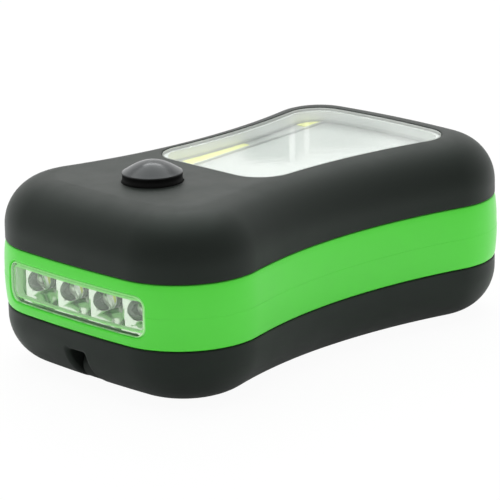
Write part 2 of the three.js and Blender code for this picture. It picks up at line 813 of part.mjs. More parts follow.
/** The board that carries the lit strips, with four screw ears. */
function makePanelBoard() {
  const span = [panelBoardBottom, panelBoardTop];
  const sheet = plate(panelOutline(-panelBoardMargin), span);
  const ears = posts(boardEarPlaces, span, boardEarRadius);
  const holes = posts(boardEarPlaces, [span[0] - overrun, span[1] + overrun], smallScrewShankRadius + gap);
  return cut(joined([sheet, ...ears]).intersect(roomInside), holes);
}

/** One lit strip: a band of phosphor that follows the panel's waisted side. */
function makeStrip(side) {
  const [from, to] = [panelFront + stripEndMargin, panelRear - stripEndMargin];
  const outerInset = panelSideInset + stripMargin;
  const steps = 2 * waistSteps;
  const along = Array.from({ length: steps + 1 }, (_, i) => from + ((to - from) * i) / steps);
  const outer = along.map((x) => new THREE.Vector2(x, side * halfWidthAt(x, outerInset)));
  const inner = along.map((x) => new THREE.Vector2(x, side * halfWidthAt(x, outerInset + stripWidth)));
  const opening = panelOutline(panelReflectorRim + panelReflectorSlope + gap);
  const room = plate(opening, [panelBoardTop, panelBoardTop + stripHeight]);
  return room.intersect(plate([...outer, ...inner.reverse()], [panelBoardTop, reflectorTop]));
}

// Button and switch

/** The domed button with its skirt, retaining flange and stem. */
function makeButton() {
  const rim = caseHeight + buttonSkirtHeight;
  const flangeRadius = buttonRadius + buttonFlangeWidth;
  const dome = domeShares.map((share) => [
    buttonRadius * (1 - share),
    rim + buttonDomeHeight * (1 - (1 - share) ** 2) ** buttonDomeFullness,
  ]);
  const geometry = turned([
    [0, stemBottom],
    [buttonStemRadius, stemBottom],
    [buttonStemRadius, buttonFlangeBottom],
    [flangeRadius, buttonFlangeBottom],
    [flangeRadius, buttonFlangeTop],
    [buttonRadius, buttonFlangeTop],
    [buttonRadius, rim],
    ...dome,
    [0, rim + buttonDomeHeight],
  ]);
  geometry.translate(buttonX, 0, 0);
  return solidOf(geometry);
}

/** The latching switch's housing, with the bore that its plunger slides in. */
function makeSwitchHousing() {
  const half = switchWidth / 2;
  const bore = plungerWidth / 2 + gap;
  const boreDepth = plungerDepth + buttonTravel + gap;
  return cut(block([buttonX - half, buttonX + half], [-half, half], [switchBoardTop, switchTop]), [
    block([buttonX - bore, buttonX + bore], [-bore, bore], [switchTop - boreDepth, switchTop + overrun]),
  ]);
}

/** The sliding plunger between the switch and the button's stem. */
function makePlunger() {
  const half = plungerWidth / 2;
  return block([buttonX - half, buttonX + half], [-half, half], [switchTop - plungerDepth, stemBottom]);
}

/** The board under the switch, screwed to two posts of the top cover. */
function makeSwitchBoard() {
  const span = [switchBoardBottom, switchBoardTop];
  const through = [switchBoardBottom - overrun, switchBoardTop + overrun];
  const holes = posts(switchPostPlaces, through, smallScrewShankRadius + gap);
  const halfWidth = boardPostSide + switchBoardMargin;
  const sheet = block([boardFront, boardRear], [-halfWidth, halfWidth], span);
  return cut(sheet, holes);
}

/** A resistor lying on the switch board, along X. */
function makeResistor(y) {
  const half = resistorLength / 2;
  const geometry = turned(
    [
      [0, -half],
      [resistorCapRadius, -half],
      [resistorCapRadius, resistorCapLength - half],
      [resistorRadius, resistorCapLength - half],
      [resistorRadius, half - resistorCapLength],
      [resistorCapRadius, half - resistorCapLength],
      [resistorCapRadius, half],
      [0, half],
    ],
    screwSegments,
  );
  geometry.rotateY(quarterTurn);
  geometry.translate(buttonX, y, switchBoardBottom - gap - resistorCapRadius);
  return solidOf(geometry);
}

// Torch

/** A curved slice just inside the front end, from a body's face to an inset. */
function frontSlice(body, innerInset, margin, radius) {
  const halfHeight = torchWindowHeight / 2 + margin;
  const span = [torchAxis - halfHeight, torchAxis + halfHeight];
  const slab = cut(body, [plate(caseOutline(innerInset), [bandBottom - overrun, bandTop + overrun])]);
  const depth = [frontEnd - overrun, frontEnd + bandWall + overrun];
  const bar = roundedBar(depth, torchWindowWidth / 2 + margin, span, radius);
  return slab.intersect(bar);
}

/** The torch's clear window: a shallow box that follows the casing, with a flange behind the band. */
function makeTorchLens() {
  const flangeBody = plate(caseOutline(torchFlangeFront), [bandBottom, bandTop]);
  const outer = crownedBody(torchLensRecess);
  const box = frontSlice(outer, torchFlangeBack, -runningGap, torchWindowRadius - runningGap);
  const flange = frontSlice(flangeBody, torchFlangeBack, torchFlangeWidth, torchWindowRadius);
  const innerRadius = torchWindowRadius - torchLensSide;
  const inner = crownedBody(torchLensRecess + torchLensThickness);
  const hollow = frontSlice(inner, torchFlangeBack + overrun, -runningGap - torchLensSide, innerRadius);
  return cut(box.add(flange), [hollow]);
}

/** The bright reflector block with a cone-shaped cup for each LED. */
function makeTorchReflector() {
  const body = block(
    [torchReflectorFront, torchReflectorBack],
    [-torchHalfWidth, torchHalfWidth],
    [torchAxis - torchHalfHeight, torchAxis + torchHalfHeight],
  );
  const slope = (torchCupBackRadius - torchCupFrontRadius) / torchReflectorDepth;
  const cups = ledPlaces.map((y) =>
    rodAlongX(
      [torchReflectorFront - gap, torchReflectorBack + gap],
      [y, torchAxis],
      torchCupFrontRadius - slope * gap,
      torchCupBackRadius + slope * gap,
    ),
  );
  const holeRadius = smallScrewShankRadius + gap;
  const holeFront = torchBoardBack - torchScrewShankLength - gap;
  const holes = torchScrewPlaces.map((y) =>
    rodAlongX([holeFront, torchReflectorBack + overrun], [y, torchAxis], holeRadius),
  );
  return cut(body, [...cups, ...holes]);
}

/** One torch LED: a clear dome on a round body with a flange at its foot. */
function makeLed(y) {
  const straight = ledLength - ledRadius;
  const dome = arc([0, straight], ledRadius, 0, quarterTurn, ledDomeSteps).map((p) => [p.x, p.y]);
  const geometry = turned(
    [
      [0, 0],
      [ledFlangeRadius, 0],
      [ledFlangeRadius, ledFlangeThickness],
      [ledRadius, ledFlangeThickness],
      ...dome.slice(0, -1),
      [0, ledLength],
    ],
    smallSegments,
  );
  geometry.rotateY(-quarterTurn);
  geometry.translate(torchBoardFront, y, torchAxis);
  return solidOf(geometry);
}

/** The board that carries the torch LEDs. */
function makeTorchBoard() {
  const holeRadius = smallScrewShankRadius + gap;
  const holes = torchScrewPlaces.map((y) =>
    rodAlongX([torchBoardFront - overrun, torchBoardBack + overrun], [y, torchAxis], holeRadius),
  );
  const height = [torchAxis - torchHalfHeight, torchAxis + torchHalfHeight];
  return cut(block([torchBoardFront, torchBoardBack], [-torchHalfWidth, torchHalfWidth], height), holes);
}

// Cells and contacts

/** A round cell along X. Direction 1 has its positive nipple towards the rear. */
function makeCell(y, direction) {
  const shoulder = cellLength - cellNippleLength;
  const geometry = turned([
    [0, 0],
    [cellRadius - cellShoulder, 0],
    [cellRadius, cellShoulder],
    [cellRadius, shoulder - cellShoulder],
    [cellRadius - cellShoulder, shoulder],
    [cellNippleRadius, shoulder],
    [cellNippleRadius, cellLength],
    [0, cellLength],
  ]);
  geometry.rotateY(direction * quarterTurn);
  const frontContact = bayFront + plateThickness + gap;
  const rearContact = bayRear - plateThickness - gap;
  const base = direction > 0 ? rearContact - cellLength : frontContact + cellLength;
  geometry.translate(base, y, cellAxis);
  return solidOf(geometry);
}

/** A contact plate against an end of the bay, from one cell to another, with a solder tab if asked for. */
function makeContact(atFront, fromY, toY, tabY) {
  const span = atFront ? [bayFront, bayFront + plateThickness] : [bayRear - plateThickness, bayRear];
  const width = [fromY - plateWidth / 2, toY + plateWidth / 2];
  const height = [cellAxis - plateHeight / 2, cellAxis + plateHeight / 2];
  const sheet = block(span, width, height);
  if (tabY === undefined) return sheet;
  const half = plateTabWidth / 2;
  return sheet.add(block(span, [tabY - half, tabY + half], [height[0], bayRoofTop + plateTabHeight]));
}

/** A conical contact spring as one unbroken wire, standing out from its plate. */
function makeSpring(y, outward) {
  const start = outward > 0 ? bayFront + plateThickness + gap : bayRear - plateThickness - gap;
  const steps = springTurns * springStepsPerTurn;
  const rings = Array.from({ length: steps + 1 }, (_, i) => {
    const t = i / steps;
    const angle = fullTurn * springTurns * t;
    const radius = springBigRadius + (springSmallRadius - springBigRadius) * t;
    const along = springWireRadius + (springLength - 2 * springWireRadius) * t;
    const radial = new THREE.Vector3(0, Math.cos(angle), Math.sin(angle));
    const axial = new THREE.Vector3(1, 0, 0);
    const middle = new THREE.Vector3(start + outward * along, y, cellAxis).addScaledVector(radial, radius);
    return Array.from({ length: springSides }, (_, k) => {
      const turn = (fullTurn * k) / springSides;
      return middle
        .clone()
        .addScaledVector(radial, springWireRadius * Math.cos(turn))
        .addScaledVector(axial, springWireRadius * Math.sin(turn));
    });
  });
  return tubeThrough(rings);
}

/** A closed tube through rings of points, with a flat cap at each end. */
function tubeThrough(rings) {
  const sides = rings[0].length;
  const positions = rings.flat().flatMap((p) => [p.x, p.y, p.z]);
  const faces = [];
  for (let i = 0; i < rings.length - 1; i++) {
    for (let k = 0; k < sides; k++) {
      const a = i * sides + k;
      const b = i * sides + ((k + 1) % sides);
      faces.push(a, b, b + sides, a, b + sides, a + sides);
    }
  }
  const last = (rings.length - 1) * sides;
  for (let k = 1; k < sides - 1; k++) {
    faces.push(0, k + 1, k, last, last + k, last + k + 1);
  }
  const geometry = new THREE.BufferGeometry();
  geometry.setAttribute("position", new THREE.Float32BufferAttribute(positions, 3));
  geometry.setIndex(faces);
  const solid = solidOf(geometry);
  if (solid.volume() > 0) return solid;
  for (let i = 0; i < faces.length; i += 3) [faces[i + 1], faces[i + 2]] = [faces[i + 2], faces[i + 1]];
  geometry.setIndex(faces);
  return solidOf(geometry);
}

// Door and magnet

/** The hinged door over the cells: a plate with two hinge tabs, a grip tongue and the magnet's cup. */
function makeDoor() {
  const sheet = block([doorFront, doorRear], [-doorHalfWidth, doorHalfWidth], [0, doorThickness]);
  const cupRadius = magnetRadius + gap + magnetWall;
  const cup = post([magnetX, 0], [0, magnetThickness + magnetFloor], cupRadius, cupRadius, largeSegments);
  const tabRoot = doorRear - doorTabRoot;
  const tabs = [-1, 1].map((side) => {
    const y = [side * doorTabSide - doorTabWidth / 2, side * doorTabSide + doorTabWidth / 2];
    return joined([
      block([tabRoot, doorRear], y, [doorThickness, doorSeat + doorTabThickness]),
      block([tabRoot, doorRear + doorTabReach], y, [doorSeat, doorSeat + doorTabThickness]),
    ]);
  });
  const slots = [-1, 1].map((side) => {
    const middle = (side * doorTongueWidth) / 2;
    const y = [middle - doorSlotWidth / 2, middle + doorSlotWidth / 2];
    return block([doorFront - overrun, doorFront + doorSlotLength], y, [-overrun, doorThickness + overrun]);
  });
  const grooves = Array.from({ length: doorGripRibs }, (_, i) => {
    const x = doorFront + doorGripPitch * (i + 1);
    const half = doorTongueWidth / 2 - doorGripMargin;
    return block([x, x + doorGripWidth], [-half, half], [-overrun, doorGripDepth]);
  });
  const pocketRadius = magnetRadius + gap;
  const pocket = post([magnetX, 0], [-overrun, magnetThickness], pocketRadius, pocketRadius, largeSegments);
  return cut(joined([sheet, cup, ...tabs]), [pocket, ...slots, ...grooves]);
}

/** The round magnet, flush with the door's underside. */
function makeMagnet() {
  return post([magnetX, 0], [0, magnetThickness], magnetRadius, magnetRadius, largeSegments);
}

// Hook

/** The folding hook: a knuckle round the pin, a straight arm and an open loop, all flat. */
function makeHook() {
  const z = [hookRecess, hookRecess + hookArmThickness];
  const knuckle = rodAlongY([hookX, hookPivotHeight], hookKnuckleWidth, hookKnuckleRadius);
  const joinX = loopX - hookLoopRadius;
  const arm = block([hookX, joinX], [-hookArmWidth / 2, hookArmWidth / 2], z);
  const tip = halfTurn - THREE.MathUtils.degToRad(hookTipAngle);
  const outer = hookLoopRadius + hookArmWidth / 2;
  const inner = hookLoopRadius - hookArmWidth / 2;
  const ring = [
    ...arc([loopX, 0], outer, halfTurn, tip, loopSteps),
    ...arc([loopX, 0], inner, tip, halfTurn, loopSteps),
  ];
  const loop = plate(ring.reverse(), z);
  const tipPlace = [loopX + hookLoopRadius * Math.cos(tip), hookLoopRadius * Math.sin(tip)];
  const ends = posts([[joinX, 0], tipPlace], z, hookArmWidth / 2);
  const bore = rodAlongY([hookX, hookPivotHeight], channelWidth + overrun, hookPinRadius + runningGap);
  return cut(joined([knuckle, arm, loop, ...ends]), [bore]);
}

// Screws

/** A pan-head screw standing upright with its head at the bottom, and its seat at height zero. */
function screwGeometry({ headRadius, headHeight, shankRadius }, shankLength) {
  return turned(
    [
      [0, driveSocketDepth - headHeight],
      [driveSocketRadius, driveSocketDepth - headHeight],
      [driveSocketRadius, -headHeight],
      [headRadius - headHeight / 4, -headHeight],
      [headRadius, -headHeight / 2],
      [headRadius, 0],
      [shankRadius, 0],
      [shankRadius, shankLength - shankRadius],
      [0, shankLength],
    ],
    screwSegments,
  );
}

const caseScrew = {
  headRadius: caseScrewHeadRadius,
  headHeight: caseScrewHeadHeight,
  shankRadius: caseScrewShankRadius,
};
const smallScrew = {
  headRadius: smallScrewHeadRadius,
  headHeight: smallScrewHeadHeight,
  shankRadius: smallScrewShankRadius,
};

// Leads

/** An insulated lead along a smooth curve through the given points. */
function makeLead(points) {
  const curve = new THREE.CatmullRomCurve3(points.map((p) => new THREE.Vector3(...p)));
  const section = new THREE.Shape(arc([0, 0], leadRadius, 0, fullTurn, leadSides).slice(0, -1));
  const geometry = new THREE.ExtrudeGeometry(section, {
    steps: leadSteps,
    bevelEnabled: false,
    extrudePath: curve,
  });
  return solidOf(geometry);
}

// Assembly

addPiece("top_cover", makeTopCover(), softBlack);
addPiece("middle_band", makeBand(), limeGreen);
addPiece("bottom_cover", makeBottomCover(), softBlack);
caseScrewPlaces.forEach(([x, y], i) => {
  const screw = addPiece(`case_screw_${i + 1}`, screwGeometry(caseScrew, caseScrewShankLength), steel);
  screw.position.set(x, y, counterboreDepth);
});

addPiece("panel_lens", makePanelLens(), clearPlastic);
addPiece("panel_reflector", makePanelReflector(), whitePlastic);
addPiece("panel_led_board", makePanelBoard(), boardWhite);
addPiece("led_strip_left", makeStrip(1), phosphor);
addPiece("led_strip_right", makeStrip(-1), phosphor);
boardEarPlaces.forEach(([x, y], i) => {
  const screw = addPiece(`panel_board_screw_${i + 1}`, screwGeometry(smallScrew, boardScrewLength), steel);
  screw.position.set(x, y, panelBoardBottom);
});

addPiece("push_button", makeButton(), buttonBlack);
addPiece("switch_housing", makeSwitchHousing(), switchPlastic);
addPiece("switch_plunger", makePlunger(), plungerPlastic);
addPiece("switch_board", makeSwitchBoard(), boardGreen);
switchPostPlaces.forEach(([x, y], i) => {
  const geometry = screwGeometry(smallScrew, smallScrewShankLength);
  const screw = addPiece(`switch_board_screw_${i + 1}`, geometry, steel);
  screw.position.set(x, y, switchBoardBottom);
});
[-1, 1].forEach((side, i) => {
  addPiece(`resistor_${i + 1}`, makeResistor((side * switchWidth) / 2), resistorBeige);
});

addPiece("torch_lens", makeTorchLens(), clearPlastic);
addPiece("torch_reflector", makeTorchReflector(), brightChrome);
addPiece("torch_board", makeTorchBoard(), boardGreen);
ledPlaces.forEach((y, i) => addPiece(`torch_led_${i + 1}`, makeLed(y), clearPlastic));
torchScrewPlaces.forEach((y, i) => {
  const geometry = screwGeometry(smallScrew, torchScrewShankLength);
  const screw = addPiece(`torch_board_screw_${i + 1}`, geometry, steel);
  screw.rotation.y = -quarterTurn;
  screw.position.set(torchBoardBack, y, torchAxis);
});

const cellDirections = [-1, 1, -1];
cellPlaces.forEach((y, i) => addPiece(`cell_${i + 1}`, makeCell(y, cellDirections[i]), cellSleeve));
const [firstY, middleY, lastY] = cellPlaces;
addPiece("contact_positive", makeContact(true, firstY, firstY, firstY), nickel);
addPiece("contact_front_bridge", makeContact(true, middleY, lastY), nickel);
addPiece("contact_rear_bridge", makeContact(false, firstY, middleY), nickel);
addPiece("contact_negative", makeContact(false, lastY, lastY, lastY), nickel);
addPiece("contact_spring_1", makeSpring(firstY, -1), springSteel);
addPiece("contact_spring_2", makeSpring(middleY, 1), springSteel);
addPiece("contact_spring_3", makeSpring(lastY, -1), springSteel);

addPiece("battery_door", makeDoor(), softBlack);
addPiece("magnet", makeMagnet(), nickel);
addPiece("hook", makeHook(), softBlack);
addPiece("hook_pin", rodAlongY([hookX, hookPivotHeight], hookPinLength, hookPinRadius), steel);

const leadLanding = gap + leadRadius;
const belowBoard = switchBoardBottom - gap;
const aboveBay = (bayRoofTop + belowBoard) / 2;
const leadPitch = 4 * leadRadius;
const sideRun = bayHalfWidth + bayWall + leadLanding + leadPitch;
addPiece(
  "lead_battery_positive",
  makeLead([
    [bayFront - leadLanding, firstY, bayRoofTop + plateTabHeight / 2],
    [bayFront - leadPitch, firstY, bayRoofTop + leadPitch],
    [boardRear + leadPitch, firstY + leadPitch, aboveBay],
    [boardRear - leadPitch, firstY + leadPitch, belowBoard - leadPitch],
    [boardRear - leadPitch, firstY + leadPitch, belowBoard],
  ]),
  leadRed,
);
addPiece(
  "lead_battery_negative",
  makeLead([
    [bayRear - plateThickness - leadLanding, lastY, bayRoofTop + plateTabHeight / 2],
    [bayRear - plateThickness - 2 * leadPitch, lastY + leadPitch / 2, bayRoofTop + leadPitch],
    [bayRear / 2, sideRun - leadPitch, bayRoofTop + leadPitch],
    [0, sideRun - leadPitch, bayRoofTop + leadPitch],
    [boardRear + 2 * leadPitch, lastY + leadPitch, aboveBay],
    [boardRear - leadPitch, lastY - leadPitch, belowBoard - leadPitch],
    [boardRear - leadPitch, lastY - leadPitch, belowBoard],
  ]),
  leadBlack,
);
[-1, 1].forEach((side) => {
  const y = side * leadPitch;
  addPiece(
    side > 0 ? "lead_torch_negative" : "lead_torch_positive",
    makeLead([
      [boardFront + leadPitch / 2, y, belowBoard],
      [boardFront + leadPitch / 2, y, belowBoard - leadPitch / 2],
      [torchBoardBack + leadPitch / 2, y, torchAxis - leadPitch / 4],
      [torchBoardBack + gap, y, torchAxis - leadPitch / 4],
    ]),
    side > 0 ? leadBlack : leadRed,
  );
  addPiece(
    side > 0 ? "lead_panel_negative" : "lead_panel_positive",
    makeLead([
      [boardRear - leadPitch / 2, 2 * y, switchBoardTop + gap],
      [boardRear - leadPitch / 2, 2 * y, switchBoardTop + leadPitch],
      [panelFront + leadPitch, 2 * y, panelBoardBottom - leadPitch],
      [panelFront + leadPitch, 2 * y, panelBoardBottom - gap],
    ]),
    side > 0 ? leadBlack : leadRed,
  );
});

export default lamp;
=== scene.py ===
"""Looks of a palm-sized LED work light: waisted black covers round a bright green band.

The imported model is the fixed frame. Each sub-assembly is a class that builds its fine meshes as numpy
surfaces, in metres and in the frame's own axes, and dresses them with procedural finishes.
"""

import logging
import math
from collections.abc import Callable, Iterable
from dataclasses import dataclass
from enum import Enum

import bmesh
import bpy
import numpy as np
from mathutils import Matrix, Vector


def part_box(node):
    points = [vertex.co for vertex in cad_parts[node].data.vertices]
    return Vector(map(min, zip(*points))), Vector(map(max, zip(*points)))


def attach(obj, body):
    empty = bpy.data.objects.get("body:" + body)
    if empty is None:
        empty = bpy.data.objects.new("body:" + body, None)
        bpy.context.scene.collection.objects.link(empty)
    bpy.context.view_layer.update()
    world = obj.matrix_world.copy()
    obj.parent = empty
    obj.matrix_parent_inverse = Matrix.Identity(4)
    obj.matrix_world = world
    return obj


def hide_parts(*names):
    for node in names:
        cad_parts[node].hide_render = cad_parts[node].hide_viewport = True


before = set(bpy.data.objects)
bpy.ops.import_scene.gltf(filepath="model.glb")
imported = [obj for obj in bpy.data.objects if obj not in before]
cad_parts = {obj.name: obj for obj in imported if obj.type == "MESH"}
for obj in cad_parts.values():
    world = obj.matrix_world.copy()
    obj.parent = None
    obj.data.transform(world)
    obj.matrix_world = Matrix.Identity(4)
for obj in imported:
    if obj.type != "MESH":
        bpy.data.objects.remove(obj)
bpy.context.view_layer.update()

QUARTER = math.pi / 2
HALF = math.pi
FULL = 2 * math.pi
MERGE = 2e-6
OVERRUN = 0.005
CORNERS = ((1, 1), (-1, 1), (-1, -1), (1, -1))
ONE_TO_FOUR = range(1, 5)
NOISE_RANGE = (0.3, 0.7)
MIX_FIRST, MIX_SECOND, MIX_RESULT = 6, 7, 2

Array = np.ndarray
Pair = tuple[float, float]
Point = tuple[float, float, float]
Colour = tuple[float, float, float]
Object = bpy.types.Object
Material = bpy.types.Material
Socket = bpy.types.NodeSocket
log = logging.getLogger("work_light")


# Mesh making


class Axis(Enum):
    """Axis that a solid of revolution turns about, as its own columns (across, across, along)."""

    X = ((0.0, 1.0, 0.0), (0.0, 0.0, 1.0), (1.0, 0.0, 0.0))
    Y = ((0.0, 0.0, 1.0), (1.0, 0.0, 0.0), (0.0, 1.0, 0.0))
    Z = ((1.0, 0.0, 0.0), (0.0, 1.0, 0.0), (0.0, 0.0, 1.0))


class Combining(Enum):
    """How one solid is combined with another."""

    CUT = "DIFFERENCE"
    JOIN = "UNION"
    CROSS = "INTERSECT"


class OfFace(Enum):
    """What is asked of a piece's faces."""

    MIDDLE = "center"
    NORMAL = "normal"


def arc(centre: Pair, radius: float, start: float, end: float, steps: int) -> Array:
    """Points of a plane arc, centre + radius * (cos a, sin a), both ends included.

    Args:
        centre: Middle of the arc.
        radius: Its radius.
        start: First angle in radians.
        end: Last angle in radians.
        steps: Number of equal steps between them.

    Returns:
        Array of steps + 1 points.
    """
    angle = np.linspace(start, end, steps + 1)
    return np.array(centre) + radius * np.stack([np.cos(angle), np.sin(angle)], 1)


def rolled_edge(radius: float, steps: int) -> Array:
    """Margins and depths of a quarter circle that rolls into a hole: (1 - sin a, 1 - cos a) * radius."""
    turn = np.linspace(0, QUARTER, steps + 1)
    return np.column_stack([radius * (1 - np.sin(turn)), radius * (1 - np.cos(turn))])


def stacked(outline: Callable[[float], Array], levels: Iterable[Pair]) -> Array:
    """Rings from an outline at several margins, each lifted to its height.

    Args:
        outline: Gives the closed outline at a margin.
        levels: Pairs of margin and height.

    Returns:
        Array of rings.
    """
    flats = [(outline(margin), z) for margin, z in levels]
    return np.array([np.column_stack([flat, np.full(len(flat), z)]) for flat, z in flats])


def across_x(x: Array | float, flat: Array, z: float = 0.0) -> Array:
    """Points of a ring that faces along X, from (y, z) pairs and a height that is added to them."""
    return np.column_stack([np.broadcast_to(x, len(flat)), flat[:, 0], z + flat[:, 1]])


def ring_quads(rows: int, columns: int, closed: bool = False) -> Array:
    """Quads between neighbouring rings of a stack.

    Args:
        rows: Number of rings.
        columns: Points on each ring.
        closed: Whether the last ring is joined to the first.

    Returns:
        Array of quads as vertex indices.
    """
    i = np.arange(rows if closed else rows - 1)[:, None]
    j = np.arange(columns)[None, :]
    after = (j + 1) % columns
    above = ((i + 1) % rows) * columns
    return np.stack([i * columns + j, i * columns + after, above + after, above + j], -1).reshape(-1, 4)


def shown(name: str, data: bpy.types.ID) -> Object:
    """A new object that is linked to the scene.

    Args:
        name: Name of the object.
        data: Its mesh, lamp or camera.

    Returns:
        The object.
    """
    made = bpy.data.objects.new(name, data)
    bpy.context.scene.collection.objects.link(made)
    return made


def mesh_object(name: str, points: Array, faces: list[list[int]]) -> Object:
    """A closed mesh with doubles merged and its faces pointing out.

    Args:
        name: Name of the piece.
        points: Vertex places, one row each.
        faces: Vertex indices of each face.

    Returns:
        The new object, linked to the scene.
    """
    mesh = bpy.data.meshes.new(name)
    mesh.from_pydata(points.tolist(), [], faces)
    work = bmesh.new()
    work.from_mesh(mesh)
    bmesh.ops.remove_doubles(work, verts=work.verts, dist=MERGE)
    bmesh.ops.dissolve_degenerate(work, edges=work.edges, dist=MERGE / 2)
    bmesh.ops.recalc_face_normals(work, faces=work.faces)
    if work.calc_volume(signed=True) < 0:
        bmesh.ops.reverse_faces(work, faces=work.faces)
    work.to_mesh(mesh)
    work.free()
    return shown(name, mesh)


def from_rings(name: str, rings: Array, closed: bool = False) -> Object:
    """A solid through a stack of rings, with a flat face on each end unless the stack is closed.

    Args:
        name: Name of the piece.
        rings: Array of rings, each a row of points.
        closed: Whether the last ring is joined to the first.

    Returns:
        The new object.
    """
    rows, columns = rings.shape[:2]
    faces = ring_quads(rows, columns, closed).tolist()
    if not closed:
        first = list(range(columns))
        faces += [first[::-1], [(rows - 1) * columns + i for i in first]]
    return mesh_object(name, rings.reshape(-1, 3), faces)


def revolved(name: str, profile: Array, origin: Point, axis: Axis, segments: int) -> Object:
    """A solid of revolution: origin + r * (cos a * across + sin a * across) + h * along.

    Args:
        name: Name of the piece.
        profile: Pairs of radius and height, from the axis back to the axis.
        origin: Point on the axis at height zero.
        axis: Which axis it turns about.
        segments: Number of steps round.

    Returns:
        The new object.
    """
    angle = np.linspace(0, FULL, segments, endpoint=False)
    radius, height = np.asarray(profile, float).T
    u, v, w = (np.array(column) for column in axis.value)
    round_part = np.cos(angle)[:, None] * u + np.sin(angle)[:, None] * v
    rings = np.array(origin) + radius[:, None, None] * round_part + height[:, None, None] * w
    return mesh_object(name, rings.reshape(-1, 3), ring_quads(len(radius), segments).tolist())


def box_solid(name: str, low: Point, high: Point) -> Object:
    """A block between its lowest and its highest corner."""
    flat = np.array([(low[0], low[1]), (high[0], low[1]), (high[0], high[1]), (low[0], high[1])])
    return from_rings(name, stacked(lambda margin: flat, [(0, low[2]), (0, high[2])]))


def rod(name: str, origin: Point, length: float, radius: float, axis: Axis = Axis.Z) -> Object:
    """A plain rod from the middle of its first end, used to join and cut."""
    return revolved(name, [(0, 0), (radius, 0), (radius, length), (0, length)], origin, axis, segments=48)


def chamfered_rod(
    name: str, origin: Point, length: float, radius: float, edge: float, axis: Axis, segments: int
) -> Object:
    """A rod whose two ends are chamfered.

    Args:
        name: Name of the piece.
        origin: Middle of its first end.
        length: Its length along the axis.
        radius: Its radius.
        edge: Width of the chamfers.
        axis: Its direction.
        segments: Number of steps round.

    Returns:
        The new object.
    """
    half = [(0, 0), (radius - edge, 0), (radius, edge)]
    other = [(r, length - h) for r, h in half[::-1]]
    return revolved(name, half + other, origin, axis, segments)


def settle(piece: Object) -> Object:
    """Replaces a piece's mesh by the one that its modifiers make.

    Args:
        piece: Object with modifiers.

    Returns:
        The same object, without modifiers.
    """
    graph = bpy.context.evaluated_depsgraph_get()
    mesh = bpy.data.meshes.new_from_object(piece.evaluated_get(graph))
    piece.modifiers.clear()
    piece.data = mesh
    return piece


def combine(piece: Object, others: list[Object], how: Combining = Combining.CUT) -> Object:
    """Joins, cuts or crosses a piece with others, which are used up.

    Args:
        piece: Object that stays.
        others: Objects that are used up.
        how: Whether they cut, join or cross.

    Returns:
        The piece with its new mesh.
    """
    for other in others:
        step = piece.modifiers.new("combine", "BOOLEAN")
        step.operation = how.value
        step.solver = "EXACT"
        step.object = other
    settle(piece)
    for other in others:
        bpy.data.objects.remove(other)
    return piece


def smooth(piece: Object, angle: float = 35.0, weighted: bool = True) -> Object:
    """Shades a piece smooth, with sharp edges past an angle.

    Args:
        piece: Object to shade.
        angle: Largest smooth angle in degrees.
        weighted: Whether large flat faces keep their own direction.

    Returns:
        The same object.
    """
    piece.data.shade_smooth()
    piece.data.set_sharp_from_angle(angle=math.radians(angle))
    if weighted:
        piece.modifiers.new("even_shading", "WEIGHTED_NORMAL").keep_sharp = True
    return piece


def softened_copy(name: str, node: str, width: float, angle: float = 35.0) -> Object:
    """A copy of a plain node with its edges rounded.

    Args:
        name: Name of the piece.
        node: CAD node that is copied.
        width: Width of the rounding.
        angle: Edges sharper than this, in degrees, are rounded.

    Returns:
        The new object.
    """
    made = shown(name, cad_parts[node].data.copy())
    made.data.materials.clear()
    work = bmesh.new()
    work.from_mesh(made.data)
    bmesh.ops.remove_doubles(work, verts=work.verts, dist=MERGE)
    bmesh.ops.dissolve_limit(work, angle_limit=math.radians(1), verts=work.verts, edges=work.edges)
    work.to_mesh(made.data)
    work.free()
    step = made.modifiers.new("soft_edges", "BEVEL")
    step.limit_method = "ANGLE"
    step.angle_limit = math.radians(angle)
    step.width = width
    step.segments = 3
    return smooth(settle(made))


def rounded_rectangle(half_u: float, half_v: float, radius: float, side: int = 24, corner: int = 8) -> Array:
    """A rectangle with round corners, with points along its sides as well.

    Args:
        half_u: Half its width.
        half_v: Half its height.
        radius: Corner radius, kept between zero and the half height.
        side: Steps along each side.
        corner: Steps round each corner.

    Returns:
        Closed outline, one row a point, anticlockwise.
    """
    radius = min(max(radius, 0.0), half_u, half_v)
    parts = [
        arc((su * (half_u - radius), sv * (half_v - radius)), radius, k * QUARTER, (k + 1) * QUARTER, corner)
        for k, (su, sv) in enumerate(CORNERS)
    ]
    share = np.linspace(0, 1, side + 1)[1:-1, None]
    sides = [part[-1] + share * (after[0] - part[-1]) for part, after in zip(parts, parts[1:] + parts[:1])]
    return np.concatenate([piece for pair in zip(parts, sides) for piece in pair])


def circles_meet(first: Pair, first_radius: float, second: Pair, second_radius: float) -> Pair:
    """Where two circles meet, on the side with the greater X.

    Args:
        first: Centre of the first circle.
        first_radius: Its radius.
        second: Centre of the second circle.
        second_radius: Its radius.

    Returns:
        The meeting point.
    """
    a, b = np.array(first), np.array(second)
    span = np.linalg.norm(b - a)
    along = (span**2 + first_radius**2 - second_radius**2) / (2 * span)
    off = math.sqrt(first_radius**2 - along**2)
    unit = (b - a) / span
    across = np.array([-unit[1], unit[0]])
    places = [a + unit * along + side * across * off for side in (-1, 1)]
    return tuple(max(places, key=lambda place: place[0]))


def middle_of(node: str) -> Array:
    """Middle of a CAD node's box."""
    return sum(np.array(corner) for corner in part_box(node)) / 2


# Finishes


